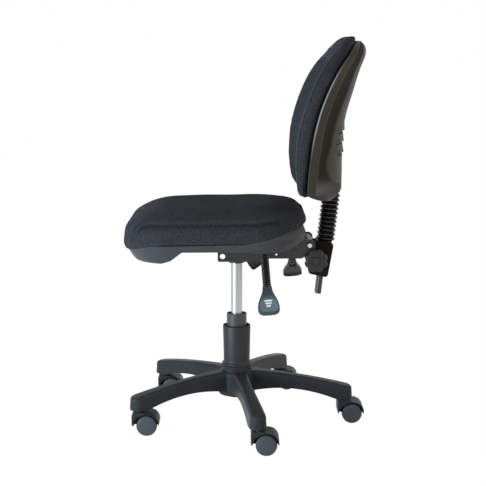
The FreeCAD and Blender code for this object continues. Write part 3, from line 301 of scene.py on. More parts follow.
# A darker copy of the grip plastic: painted shade on the grips that hang under the seat.
PADDLE_PAINTED_SHADE = moulded("paddle_painted_shade", colour(38, 39, 41), 0.44, depth=0.00004, gloss=0.25)
COVER = moulded("cover_black", colour(24, 22, 20), 0.46, gloss=0.1)
KNOB = moulded("knob_black", colour(44, 43, 42), 0.4, depth=0.00005, spread=0.12)
GUIDE = moulded("guide_black", colour(40, 40, 42), 0.5)
STEEL_BLACK = coated("steel_black", colour(30, 30, 31), 0.42)
COLUMN = coated("column_black", colour(52, 53, 55), 0.4)
ZINC = metal("zinc", (0.68, 0.69, 0.7), 0.3)
CASTOR_STEEL = metal("castor_steel", (0.55, 0.55, 0.56), 0.32)
GROUND = metal("ground_steel", (0.55, 0.55, 0.56), 0.25)
SILVER = metal("cylinder_silver", (0.47, 0.49, 0.52), 0.34, (1, 1, 0.02))
SLEEVE = soft_rubber("sleeve_black", colour(15, 15, 16), 0.26)
BELLOWS = soft_rubber("bellows_black", colour(16, 16, 16), 0.28)
STOP = soft_rubber("stop_black", colour(26, 26, 26), 0.6)
PLY = plywood("ply")
MARK_WHITE = moulded("mark_white", (0.92, 0.93, 0.93), 0.5)
MARK_GREEN = moulded("mark_green", (0.05, 0.36, 0.14), 0.5)

FINISHES = {
    "base_nylon": BASE, "column_black": COLUMN, "guide_plastic": GUIDE, "shroud_plastic": SHROUD,
    "bright_steel": GROUND, "stop_rubber": STOP, "cylinder_silver": SILVER, "black_steel": STEEL_BLACK,
    "zinc_steel": ZINC, "sleeve_rubber": SLEEVE, "lever_plastic": PADDLE, "plywood": PLY,
    "shell_plastic": SHELL, "seat_fabric": FABRIC, "cover_plastic": COVER, "knob_plastic": KNOB,
    "bellows_rubber": BELLOWS, "castor_nylon": HOOD, "castor_steel": CASTOR_STEEL, "wheel_nylon": WHEEL,
}
SPECIAL = {"back_pivot_bolt": pivot_metal("pivot_bolt"), "seat_shell": SEAT_SHELL_PAINTED_LIGHT}
for part in frame["record"]["subparts"]:
    mesh = nodes[part["node"]].data
    mesh.materials.clear()
    finish = SPECIAL.get(part["node"]) or FINISHES[part["material_slot"]]
    mesh.materials.append(finish.material)


def spaced(steps, low, high):
    """Numbers from low to high in even steps, both ends included."""
    return [low + (high - low) * k / steps for k in range(steps + 1)]


def mounted(name, mesh, look, body, slot, *stands_for, crease=32):
    """Shows a mesh as one piece of the chair, in place of the CAD nodes it stands for."""
    mesh.materials.clear()
    mesh.materials.append(look.material)
    mesh.shade_smooth()
    mesh.set_sharp_from_angle(angle=math.radians(crease))
    piece = bpy.data.objects.new(name, mesh)
    scene.collection.objects.link(piece)
    if body:
        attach(piece, body)
    if stands_for:
        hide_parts(*stands_for)
    return piece


def made(name, bm, look, body, slot, *stands_for, crease=32):
    bmesh.ops.remove_doubles(bm, verts=bm.verts, dist=MERGED)
    bmesh.ops.recalc_face_normals(bm, faces=bm.faces)
    mesh = bpy.data.meshes.new(name)
    bm.to_mesh(mesh)
    bm.free()
    return mounted(name, mesh, look, body, slot, *stands_for, crease=crease)


def walled(piece, thickness):
    """Gives an open skin its wall, inwards."""
    wall = piece.modifiers.new("wall", "SOLIDIFY")
    wall.thickness = thickness
    wall.offset = -1


def eased(bm, radius, degrees):
    """Rounds every edge that turns by more than this angle."""
    bmesh.ops.remove_doubles(bm, verts=bm.verts, dist=MERGED)
    bmesh.ops.recalc_face_normals(bm, faces=bm.faces)
    sharp = [e for e in bm.edges if len(e.link_faces) == 2 and e.calc_face_angle(0) > math.radians(degrees)]
    bmesh.ops.bevel(bm, geom=sharp, offset=radius, offset_type="OFFSET", affect="EDGES", segments=2,
                    profile=0.5, material=-1, clamp_overlap=True)


def spun(profile, steps):
    """A turned shape about Z from a closed line of (radius, height) points in millimetres."""
    bm = bmesh.new()
    verts = [bm.verts.new((r * MM, 0, h * MM)) for r, h in profile]
    edges = [bm.edges.new(pair) for pair in zip(verts, verts[1:] + verts[:1])]
    bmesh.ops.spin(bm, geom=verts + edges, cent=(0, 0, 0), axis=(0, 0, 1), angle=2 * math.pi, steps=steps,
                   use_merge=True)
    bmesh.ops.remove_doubles(bm, verts=bm.verts, dist=MERGED)
    return bm


def skin(rows, closed=True):
    """A skin drawn out row by row; every row has the same number of points."""
    bm = bmesh.new()
    row = [bm.verts.new(p) for p in rows[0]]
    ends = list(zip(row, row[1:] + row[:1])) if closed else list(zip(row, row[1:]))
    edges = [bm.edges.new(pair) for pair in ends]
    for points in rows[1:]:
        drawn = bmesh.ops.extrude_edge_only(bm, edges=edges)["geom"]
        fresh = {v for v in drawn if isinstance(v, bmesh.types.BMVert)}
        row = [next(e.other_vert(v) for e in v.link_edges if e.other_vert(v) in fresh) for v in row]
        for v, p in zip(row, points):
            v.co = p
        edges = [e for e in drawn if isinstance(e, bmesh.types.BMEdge) and all(v in fresh for v in e.verts)]
    return bm


def copied(node):
    """The node's own skin, joined up."""
    bm = bmesh.new()
    bm.from_mesh(nodes[node].data)
    bmesh.ops.remove_doubles(bm, verts=bm.verts, dist=1e-5)
    return bm


def even(bm, voxel):
    """The shape as an even net of small squares."""
    mesh = bpy.data.meshes.new("net")
    bm.to_mesh(mesh)
    bm.free()
    holder = bpy.data.objects.new("net", mesh)
    scene.collection.objects.link(holder)
    net = holder.modifiers.new("net", "REMESH")
    net.mode = "VOXEL"
    net.voxel_size = voxel
    result = bpy.data.meshes.new_from_object(holder.evaluated_get(bpy.context.evaluated_depsgraph_get()))
    bpy.data.objects.remove(holder)
    return result


def facing(mesh):
    return [v.normal.copy() for v in mesh.vertices]


def stuffed(mesh, held, name):
    """Draws a net in a little and blows it up as filled cloth; held says how firmly a point is kept, 0 to 1."""
    slack, pressure, most, frames = 0.001, 4.0, 0.003, 20
    for v, out in zip(mesh.vertices, facing(mesh)):
        v.co -= out * slack * (1 - held(v.co, out))
    holder = bpy.data.objects.new(name, mesh)
    scene.collection.objects.link(holder)
    rest = [v.co.copy() for v in mesh.vertices]
    pins = holder.vertex_groups.new(name="pins")
    for k, (old, out) in enumerate(zip(rest, facing(mesh))):
        pins.add([k], held(old, out), "REPLACE")
    cloth = holder.modifiers.new("cloth", "CLOTH")
    cloth.settings.vertex_group_mass = "pins"
    cloth.settings.use_pressure = True
    cloth.settings.uniform_pressure_force = pressure
    cloth.settings.effector_weights.gravity = 0
    cloth.settings.quality = 4
    cloth.point_cache.frame_start = 1
    cloth.point_cache.frame_end = frames
    for step in range(1, frames + 1):
        scene.frame_set(step)
    blown = bpy.data.meshes.new_from_object(holder.evaluated_get(bpy.context.evaluated_depsgraph_get()))
    for v, old, new in zip(mesh.vertices, rest, blown.vertices):
        move = new.co - old
        v.co = old + move * min(1, most / max(move.length, 1e-9))
    bpy.data.objects.remove(holder)
    bpy.data.meshes.remove(blown)
    scene.frame_set(1)


def smoothed(mesh, rounds, factor=0.5, wanted=None):
    """Evens a net out, all of it or where it is wanted."""
    bm = bmesh.new()
    bm.from_mesh(mesh)
    verts = [v for v in bm.verts if wanted is None or wanted(v.co)]
    for _ in range(rounds):
        bmesh.ops.smooth_vert(bm, verts=verts, factor=factor, use_axis_x=True, use_axis_y=True,
                              use_axis_z=True)
    bm.to_mesh(mesh)
    bm.free()


def kept(mesh, name, values):
    """Keeps a number for every point of the mesh, for its finish to read."""
    mesh.attributes.new(name, "FLOAT", "POINT").data.foreach_set("value", values)


def ramp(value, low, high):
    """0 below low, 1 above high, smooth between."""
    t = min(1, max(0, (value - low) / (high - low)))
    return t * t * (3 - 2 * t)


def bell(offset, width):
    """1 at no offset, falling off to both sides over about this width."""
    return math.exp(-(offset / width) ** 2)


def along(points, x):
    """Height of a line of (x, height) points."""
    for (x0, h0), (x1, h1) in zip(points, points[1:]):
        if x <= x1:
            return h0 + (h1 - h0) * (x - x0) / (x1 - x0)
    return points[-1][1]


def upholstered(name, mesh, body, node):
    """Shows a shaped net as a padded cushion in the chair's cloth."""
    cushion = mounted(name, mesh, FABRIC, body, "seat_fabric", node, crease=180)
    finer = cushion.modifiers.new("finer", "SUBSURF")
    finer.levels = finer.render_levels = 1


# Lines along the seat's side, as (depth, height): where the cloth goes into the shell, and the soft ridge.
WELT = [(-0.32, 0.470), (-0.185, 0.479), (0.020, 0.482), (0.080, 0.494), (0.167, 0.518), (0.256, 0.542)]
RIDGE = [(-0.30, 0.472), (-0.240, 0.490), (-0.234, 0.499), (-0.228, 0.511), (-0.221, 0.519), (-0.213, 0.525),
         (-0.195, 0.529), (0.05, 0.532), (0.12, 0.536), (0.25, 0.545)]


def crown_lift(y):
    """How much the seat's top rises over the plain foam, at its rear and behind its front edge."""
    rear = 0.0085 * ramp(y, -0.02, 0.11) + 0.0180 * ramp(y, 0.08, 0.15)
    front = 0.0078 * ramp(-y, 0.12, 0.20) * (1 - ramp(-y, 0.230, 0.270))
    return rear + front - 0.0020


def side_swell(p, flank):
    """How far the seat's side stands out: a ridge over a groove on the flanks, a full round at both ends."""
    rise = p.z - along(RIDGE, p.y)
    ridge = 0.0130 * bell(rise, 0.0080 if rise > 0 else 0.024)
    groove = 0.0036 * bell(rise + 0.009, 0.0045)
    if p.y > 0:
        full = 0.0150 * bell(p.z - 0.531, 0.025)
    else:
        full = 0.0135 * bell(p.z - 0.512, 0.022)
    tail = ramp(p.y, 0.10, 0.15)
    above = ramp(p.z - along(WELT, p.y), -0.010 * tail, 0.016 - 0.012 * tail)
    return ((ridge - groove) * flank + full * (1 - flank)) * above


def seat_cushion():
    """Moulded foam under stretched cloth: a crowned top, a soft ridge, a rounded side and a drooping nose."""
    net, crown_rounds = 0.004, 120
    mesh = even(copied("seat_cushion"), net)

    def held(p, out):
        return 1 - ramp(p.z - along(WELT, p.y), 0.002, 0.014)

    stuffed(mesh, held, "seat_net")
    smoothed(mesh, 4)
    for v in mesh.vertices:
        v.co.z += crown_lift(v.co.y) * ramp(v.co.z - along(RIDGE, v.co.y), -0.004, 0.010)
    smoothed(mesh, crown_rounds, 0.5, lambda p: p.z > along(RIDGE, p.y) + 0.003)
    for v, out in zip(mesh.vertices, facing(mesh)):
        p = v.co.copy()
        v.co.z += ramp(out.z, 0.1, 0.6) * (0.007 * ramp(p.y, 0.10, 0.14) + 0.0015 * ramp(-p.y, 0.18, 0.22))
        side = Vector((out.x, out.y, 0))
        if side.length < 0.03:
            continue
        flank = abs(out.x) / side.length
        hem = p.z - along(WELT, p.y)
        nose = ramp(-p.y, 0.165, 0.245) * ramp(side.length, 0.3, 0.7)
        low, under = bell(hem, 0.016) * nose, bell(hem + 0.002, 0.011) * nose
        swell = side_swell(p, flank) * ramp(side.length, 0.03, 0.5)
        swell += 0.0065 * low * flank - 0.011 * under * (1 - 0.7 * flank)
        v.co += side.normalized() * swell
        v.co.z -= (0.012 + 0.006 * (1 - flank)) * low
    smoothed(mesh, 1, 0.3)
    # Painted highlight along the ridge and painted shade in the groove just under it, on the flanks.
    painted_highlight_and_shade = []
    for v in mesh.vertices:
        rise = v.co.z - along(RIDGE, v.co.y)
        length = ramp(v.co.y, -0.245, -0.215) * (1 - ramp(v.co.y, 0.07, 0.14))
        length *= ramp(abs(v.co.x), 0.17, 0.20)
        painted_highlight_and_shade.append(length * (bell(rise - 0.001, 0.003) - 1.2 * bell(rise + 0.0065, 0.0032)))
    kept(mesh, "edge", painted_highlight_and_shade)
    upholstered("seat_pad", mesh, "seat", "seat_cushion")


BACK_LOW, BACK_HIGH, BACK_HALF = 0.567, 0.943, 0.200
BACK_MIDDLE, BACK_REACH = 0.755, 0.188
PAD_MIDDLE, PAD_REACH, PAD_RISE = 0.761, 0.194, 0.012
SPINE, BEND_START, BEND_RADIUS = 0.258, 0.690, 0.468
PANEL = 0.66
VENTS, VENT_RISE, VENT_SLOT = (0.729, 0.703, 0.677), 0.021, 0.005


def fullness(u):
    """Half width as a share of the widest, round at the head and squarer at the foot."""
    power = 3 if u > 0 else 6
    return (1 - abs(u) ** power) ** (1 / power)


def back_level(u, rise=0.0, k=None):
    """Height, half width, fullness, rim depth and rear depth, from -1 at the foot to 1 at the head."""
    low, high = BACK_LOW, BACK_HIGH + rise
    z = (low + high) / 2 + u * (high - low) / 2
    k = fullness(u) if k is None else k
    bend = max(0.0, z - BEND_START)
    spine = SPINE + BEND_RADIUS - math.sqrt(BEND_RADIUS ** 2 - bend ** 2)
    edge = spine - (0.097 - 0.114 * (z - 0.600)) * (0.45 + 0.55 * k)
    rear = spine + 0.0052 * bell(z - 0.822, 0.055)
    if u > 0.75:
        rear -= 0.050 * (1 - math.sqrt(max(0, 1 - ((u - 0.75) / 0.25) ** 2)))
    return z, BACK_HALF * k, k, edge, max(rear, edge + 0.006)


def louvre(x, z):
    """How far the rear panel stands out or steps in at its three vents."""
    out = 0.0
    for foot in VENTS:
        d = z - foot
        if 0 <= d < VENT_RISE:
            out = 0.0036 * (1 - d / VENT_RISE) * (1 - ramp(abs(x), 0.078, 0.096))
        elif -VENT_SLOT < d < 0:
            out = -0.0045 * (1 - ramp(abs(x), 0.086, 0.098))
    return out


def panel_share(z):
    """Where the raised panel ends across the shell, drawn in round its foot."""
    drop = min(1.0, max(0.0, (0.668 - z) / 0.066))
    return 0.20 + 0.46 * math.sqrt(1 - drop * drop) - 0.12 * ramp(z, 0.655, 0.72) - 0.11 * ramp(z, 0.71, 0.83)


def shell_row(u):
    """One level of the shell, from rim to rim: lip, band, hollow and bulged panel."""
    z, w, k, edge, rear = back_level(u)
    edge += 0.030 * ramp(-u, 0.88, 1.0) - 0.008 * ramp(u, 0.80, 1.0)
    deep = max(rear - edge - 0.022 * k, 0.001)
    share = panel_share(z)
    half = share * w
    sag = PANEL * deep * (share / PANEL) ** 1.5
    radius = (half * half + sag * sag) / (2 * sag)
    lip = [(w - 0.0022 * k, edge - 0.0004 * k), (w + 0.0002, edge - 0.0004 * k),
           (w + 0.0010 * k, edge + 0.0012 * k), (w + 0.0008 * k, edge + 0.0030 * k),
           (w - 0.0002, edge + 0.0044 * k)]
    band = [(w * (1 - 0.055 * t), edge + (0.005 + 0.017 * t) * k) for t in (0.2, 0.4, 0.6, 0.8, 0.93, 1)]
    crest, foot = (w * 0.945, edge + 0.022 * k), (half, rear - sag)
    sunk = (0.0065 - 0.0045 * ramp(u, 0.2, 0.6)) * k
    hollow = []
    for t in (0.06, 0.14, 0.25, 0.38, 0.5, 0.62, 0.75, 0.86, 0.94, 1):
        sink = sunk * math.sin(math.pi * min(1, t * 1.02)) ** 0.8 if t < 1 else 0
        hollow.append((crest[0] + (foot[0] - crest[0]) * t - sink * 0.5,
                       crest[1] + (foot[1] - crest[1]) * t - sink))
    panel = []
    for t in (0.03, 0.07, 0.13, 0.2, 0.27, 0.34, 0.42, 0.5, 0.6, 0.7, 0.8, 0.9):
        x = half * (1 - t)
        panel.append((x, rear - radius + math.sqrt(radius * radius - x * x)))
    line = lip + band + hollow + panel
    line = line + [(0.0, rear)] + [(-x, y) for x, y in reversed(line)]
    inner = [((a[0] + 2 * b[0] + c[0]) / 4, (a[1] + 2 * b[1] + c[1]) / 4)
             for a, b, c in zip(line[4:], line[5:-5], line[6:-4])]
    return [Vector((x, y + louvre(x, z), z)) for x, y in line[:5] + inner + line[-5:]]


def back_shell():
    """The moulded rear shell: a lipped rim, a hollow band and a bulged panel with three vents."""
    lower = spaced(20, -0.9995, -0.86)
    vents = spaced(120, -0.86, -0.02)[1:]
    upper = spaced(40, -0.02, 0.86)[1:] + spaced(16, 0.86, 0.992)[1:]
    bm = skin([shell_row(u) for u in lower + vents + upper], closed=False)
    bmesh.ops.bisect_plane(bm, geom=bm.verts[:] + bm.edges[:] + bm.faces[:], dist=1e-6,
                           plane_co=(0, 0.2437, 0.5745), plane_no=(0, 0.667, -0.745), clear_outer=True)
    top = max(v.co.z for v in bm.verts)
    crown = [e for e in bm.edges if e.is_boundary and all(v.co.z > top - 1e-4 for v in e.verts)]
    bmesh.ops.contextual_create(bm, geom=crown)
    shell = made("back_shell_moulding", bm, SHELL, "backrest", "shell_plastic", "back_shell", crease=40)

    def reach(p):
        u = max(-0.9995, min(0.9995, (p.z - BACK_MIDDLE) / BACK_REACH))
        return abs(p.x) / (BACK_HALF * fullness(u))

    # Marks the hollow band for painted shade, fading out towards the shell's foot.
    def hollow(p):
        share = panel_share(p.z)
        band = ramp(reach(p), share - 0.02, share + 0.05) * (1 - ramp(reach(p), 0.90, 0.95))
        return band * ramp(p.z, 0.592, 0.632)

    # Marks the lip's outer edge, at mid height, for a painted highlight.
    def lip(p):
        return ramp(reach(p), 1.002, 1.0045) * ramp(p.z, 0.67, 0.75) * (1 - ramp(p.z, 0.84, 0.91))

    kept(shell.data, "hollow", [hollow(v.co) for v in shell.data.vertices])
    kept(shell.data, "lip", [lip(v.co) for v in shell.data.vertices])
    walled(shell, 0.0028)


def back_cushion():
    """The back's foam pad: hollow towards the sitter, with a full creased edge above a sunk seam."""
    first_net, net = 0.006, 0.0045
    mesh = even(copied("back_cushion"), first_net)

    def height(p):
        return max(-0.9999, min(0.9999, (p.z - PAD_MIDDLE) / PAD_REACH))

    def sideways(p):
        """Share of the way out to the pad's outline, and the way out."""
        u = height(p)
        reach = (abs(p.x / BACK_HALF) ** 3 + abs(u) ** 3) ** (1 / 3)
        return reach, Vector((p.x / BACK_HALF ** 2 * abs(p.x), 0, u * abs(u)))

    def held(p, out):
        return ramp(out.y, 0.2, 0.6)

    for v, out in zip(mesh.vertices, facing(mesh)):
        u = height(v.co)
        if u < 0:
            plain, full = (1 - abs(u) ** 3) ** (1 / 3), fullness(u)
            v.co.y += back_level(u, PAD_RISE, full)[3] - back_level(u, PAD_RISE, plain)[3]
            v.co.y -= 0.018 * u * u * ramp(-out.y, -0.6, 0.5)
            v.co.x *= min(1.9, full / plain)
    bm = bmesh.new()
    bm.from_mesh(mesh)
    mesh = even(bm, net)
    smoothed(mesh, 3)
    stuffed(mesh, held, "back_net")
    smoothed(mesh, 4)
    smoothed(mesh, 14, 0.5, lambda p: p.z < 0.617)
    painted_highlight_and_shade = []
    for v, out in zip(mesh.vertices, facing(mesh)):
        reach, way = sideways(v.co)
        painted_highlight_and_shade.append(0.0)
        if way.length < 1e-4:
            continue
        way.normalize()
        side, front = out.dot(way), -out.y
        turned = side - front + 0.35
        outer = ramp(reach, 0.6, 0.85)
        crease = bell(turned, 0.25) * outer
        boxing = bell(side - 0.90, 0.16) * ramp(turned, 0.5, 1.0) * outer
        # Painted highlight along the front crease and painted shade on the boxing beyond it.
        painted_highlight_and_shade[-1] = outer * (2.0 * bell(turned, 0.13) - 0.6 * bell(turned - 0.40, 0.18))
        v.co += out * (0.0038 * crease) + way * (0.0025 * boxing)
        v.co.z += 0.002 * ramp(height(v.co), 0.55, 0.95)
        v.co.y -= 0.013 * ramp(height(v.co), 0.76, 0.98)
        edge = back_level(height(v.co), PAD_RISE)[3]
        seam = (1 - ramp(edge - v.co.y, 0.000, 0.014)) * ramp(reach, 0.78, 0.95)
        v.co -= way * (0.0065 + 0.003 * ramp(height(v.co), 0.6, 0.95)) * seam
        rounding = 0.020 * ramp(height(v.co), 0.45, 0.8)
        inner = rounding - max(0, 0.985 - reach) * PAD_REACH
        depth = rounding - max(0, min(edge - 0.0105, 0.287) - v.co.y)
        if inner > 0 and depth > 0 and math.hypot(inner, depth) > rounding:
            share = 1 - rounding / math.hypot(inner, depth)
            v.co -= way * (inner * share) + Vector((0, depth * share, 0))
    smoothed(mesh, 1, 0.35)
    kept(mesh, "edge", painted_highlight_and_shade)
    upholstered("back_pad", mesh, "backrest", "back_cushion")


def bellows():
    """A ribbed boot over the upright: fourteen round folds on a rounded oblong, deeper to the rear."""
    low, high, folds, points = 0.04275, 0.194, 14, 48
    half_width, half_depth, squareness, rearward = 0.028, 0.019, 0.62, 0.0065
    pitch = (high - low) / folds
    corner = []
    for k in range(points):
        a = 2 * math.pi * (k + 0.5) / points
        c, s = math.cos(a), math.sin(a)
        corner.append((math.copysign(abs(c) ** squareness, c), math.copysign(abs(s) ** squareness, s)))
    shape = [(0.0, 0.0050), (0.10, 0.0047), (0.20, 0.0036), (0.30, 0.0015), (0.40, 0.0003), (0.5, 0.0),
             (0.60, 0.0003), (0.70, 0.0015), (0.80, 0.0036), (0.90, 0.0047)]
    rows = [(low + (fold + part) * pitch, inset) for fold in range(folds) for part, inset in shape]
    rows.append((high, 0.0050))
    rings = []
    for z, inset in rows:
        full = rearward * (1 - ramp(z, 0.158, 0.182))
        rings.append([Vector((x * (half_width - inset),
                              y * (half_depth - inset) - 0.001 + full * ramp(y, -0.9, 0.9), z))
                      for x, y in corner])
    bm = skin(rings)
    bmesh.ops.transform(bm, matrix=ARM, verts=bm.verts)
    boot = made("bellows_boot", bm, BELLOWS, None, "bellows_rubber", "bellows", crease=80)
    # Marks the hollows between the folds for painted shade.
    kept(boot.data, "hollow", [ramp(inset, 0.0012, 0.0040) for z, inset in rows for _ in corner])
    walled(boot, 0.0015)
    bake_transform(boot)


def lever_frame(y, z, side, lean, bend, droop, reach):
    """Where a lever's grip starts: out from the mechanism to one side, bent down after its straight part."""
    turn = Matrix.Rotation(0 if side > 0 else math.pi, 4, "Z")
    return (Matrix.Translation((0, y, z)) @ Matrix.Rotation(math.radians(lean), 4, "X") @ turn
            @ Matrix.Translation((bend, 0, 0)) @ Matrix.Rotation(math.radians(droop), 4, "Y")
            @ Matrix.Translation((reach, 0, 0)))


def sleeve(name, body, node, where):
    """A rubber grip of sixteen round ribs between two plain cuffs."""
    length, ribs, bore, core, crest, cuff, cuff_length = 106.0, 16, 4.1, 5.6, 9.9, 8.6, 4
    pitch = (length - 2 * cuff_length) / ribs
    rib = ((0.20, 0.0), (0.22, 0.45), (0.30, 0.84), (0.42, 1.0), (0.58, 1.0), (0.70, 0.84), (0.78, 0.45),
           (0.80, 0.0))
    profile = [(bore, 0), (cuff - 0.7, 0), (cuff, 0.6), (cuff, 3.4), (core, cuff_length)]
    for k in range(ribs):
        start = cuff_length + k * pitch
        profile += [(core + (crest - core) * h, start + pitch * t) for t, h in rib]
        profile.append((core, start + pitch))
    profile += [(cuff, length - 3.4), (cuff, length - 0.6), (cuff - 0.7, length), (bore, length)]
    bm = spun(profile, 48)
    bmesh.ops.transform(bm, matrix=where @ Matrix.Rotation(math.pi / 2, 4, "Y"), verts=bm.verts)
    made(name, bm, SLEEVE, body, "sleeve_rubber", node, crease=70)


def paddle(name, body, node, where, length, width, neck, boss, look, turns=(10, 13, 15)):
    """A flared grip with a raised rim round its face and a hollowed underside, with a boss standing out of it
    where asked.
    """
    bm = bmesh.new()
    half = [(0, neck / 2), (0.16 * length, neck / 2), (0.62 * length, 0.47 * width),
            (0.985 * length, width / 2)]
    corners = half + [(length, 0)] + [(x, -y) for x, y in reversed(half)]
    bm.faces.new([bm.verts.new((x * MM, y * MM, 0.005)) for x, y in corners])
    for reach, lowest, highest in zip(turns, (0.12, 0.5, 0.9), (0.3, 0.7, 0.995)):
        pick = [v for v in bm.verts if lowest * length * MM < v.co.x < highest * length * MM]
        bmesh.ops.bevel(bm, geom=pick, offset=reach * MM, affect="VERTICES", segments=7, profile=0.5,
                        material=-1)
    face = max(bm.faces, key=lambda f: f.calc_area())
    bottom = bmesh.ops.extrude_face_region(bm, geom=[face])["geom"]
    for v in bottom:
        if isinstance(v, bmesh.types.BMVert):
            v.co.z -= 0.010
    bmesh.ops.recalc_face_normals(bm, faces=bm.faces)
    flats = sorted((f for f in bm.faces if abs(f.normal.z) > 0.9), key=lambda f: f.calc_center_median().z)
    for flat, wall, sink in ((flats[-1], 0.0028, 0.0007), (flats[0], 0.0030, 0.0035)):
        bmesh.ops.inset_region(bm, faces=[flat], thickness=wall, use_even_offset=True)
        bmesh.ops.inset_region(bm, faces=[flat], thickness=0.0006, depth=-sink, use_even_offset=True)
    eased(bm, 0.0009, 35)
    if boss:
        block = bmesh.ops.create_cube(bm, size=1)["verts"]
        bmesh.ops.scale(bm, vec=(0.022, 0.012, 0.0065), verts=block)
        bmesh.ops.translate(bm, vec=(0.024, 0, -0.0045), verts=block)
        ring = {e for v in block for e in v.link_edges}
        bmesh.ops.bevel(bm, geom=list(ring), offset=0.0012, affect="EDGES", segments=3, profile=0.5,
                        material=-1)
    bmesh.ops.transform(bm, matrix=where, verts=bm.verts)
    grip = made(name, bm, look, body, "lever_plastic", node, crease=35)
    # Marks the sunk face, paler towards its end, for a painted highlight.
    places = [where.inverted() @ v.co for v in grip.data.vertices]
    sunk = 0.0043
    kept(grip.data, "face", [ramp(p.x, 0.026, 0.050) if abs(p.z - sunk) < 0.0004 else 0.0 for p in places])


def grip_marks(body, where):
    """Generic marks in white and green, let into the near grip's face."""
    bars = [((0.043, 0.000), (0.0052, 0.0190)), ((0.051, 0.000), (0.0052, 0.0150)),
            ((0.059, 0.000), (0.0052, 0.0110))]
    dots = [((0.044, -0.0135), (0.0050, 0.0050)), ((0.044, 0.0135), (0.0050, 0.0050)),
            ((0.0670, 0.000), (0.0054, 0.0054))]
    for name, look, spots in (("grip_bars", MARK_WHITE, bars), ("grip_dots", MARK_GREEN, dots)):
        bm = bmesh.new()
        for (x, y), (long, wide) in spots:
            block = bmesh.ops.create_cube(bm, size=1)["verts"]
            bmesh.ops.scale(bm, vec=(long, wide, 0.0006), verts=block)
            bmesh.ops.translate(bm, vec=(x, y, 0.0044), verts=block)
            upright = [e for e in {e for v in block for e in v.link_edges}
                       if abs(e.verts[0].co.z - e.verts[1].co.z) > 0.0003]
            bmesh.ops.bevel(bm, geom=upright, offset=min(long, wide) * 0.48, affect="EDGES", segments=5,
                            profile=0.5, material=-1)
        bmesh.ops.transform(bm, matrix=where, verts=bm.verts)
        made(name, bm, look, body, "lever_plastic", crease=40)


def levers():
    """The seat's and the back's levers with sleeve and grip, and the gas lever's flat grip."""
    sleeve_start, grip_start, gas_start = 0.006, 0.1123, 0.050
    near = (0.067, 0.436, 1, 4.8, 0.075, 37)
    far = (0.140, 0.436, -1, 4.8, 0.075, 37)
    gas = (0.0, 0.438, -1, 38, 0.066, 46)
    # The far grip and the gas lever's grip take the darker copy, painted shade.
    for side, place, look in (("seat", near, PADDLE), ("back", far, PADDLE_PAINTED_SHADE)):
        body = side + "_lever"
        sleeve(body + "_ribbed_sleeve", body, body + "_sleeve", lever_frame(*place, sleeve_start))
        paddle(body + "_grip", body, body + "_paddle", lever_frame(*place, grip_start), 80, 52, 22, True, look)
    paddle("gas_lever_grip", "gas_lever", "gas_lever_paddle", lever_frame(*gas, gas_start), 84, 46, 20, False,
           PADDLE_PAINTED_SHADE, (6, 9, 9))
    grip_marks("seat_lever", lever_frame(*near, grip_start))


def clamp_knob():
    """A hand knob with eight finger scoops and a ringed cap."""
    rim, scoop_circle, scoop_radius, points, scoops = 28.8, 34.5, 9, 128, 8
    rounds = [(11, 32.3), (11, 60), (13, 62.5), (23.6, 63.2), (27.2, 64.4), (28.5, 66), (rim, 68), (rim, 74),
              (28.3, 76), (27, 77.7), (25, 78.8), (20, 79.3), (12.6, 79.5), (12.0, 79.2), (11.7, 78.2),
              (10.3, 78.2), (10.0, 79.2), (9.3, 80.0), (4, 80.3), (0.4, 80.3)]
    rows = []
    for radius, height in rounds:
        row = []
        for k in range(points):
            turn = 2 * math.pi * k / points
            off = (turn + math.pi / scoops) % (2 * math.pi / scoops) - math.pi / scoops
            side = scoop_circle * math.sin(off)
            r = radius
            if radius > 22 and abs(side) < scoop_radius:
                scoop = scoop_circle * math.cos(off) - math.sqrt(scoop_radius ** 2 - side * side)
                r = min(radius, scoop - rim + radius)
            row.append(Vector((height, r * math.cos(turn), r * math.sin(turn))) * MM)
        rows.append(row)
    bm = skin(rows)
    ends = [e for e in bm.edges if e.is_boundary]
    bmesh.ops.holes_fill(bm, edges=ends, sides=0)
    bmesh.ops.translate(bm, vec=(0, 0.1931, 0.41625), verts=bm.verts)
    made("clamp_knob_scooped", bm, KNOB, "clamp", "knob_plastic", "clamp_knob", crease=38)


def column():
    """The moulded shroud, flared towards its mouth, with a bead round its foot."""
    bm = spun([(25.4, 138.2), (36.4, 138.2), (37.2, 139.4), (37.2, 141.6), (36.2, 143.6), (34.2, 145.2),
               (32.9, 147.0), (32.7, 150.0), (34.6, 238.0), (34.0, 239.2), (32.4, 239.2), (31.6, 238.0),
               (30.0, 150.0), (30.0, 142.0), (25.4, 142.0)], 96)
    eased(bm, 0.0005, 40)
    made("shroud_moulding", bm, SHROUD, "base", "shroud_plastic", "column_shroud", crease=50)


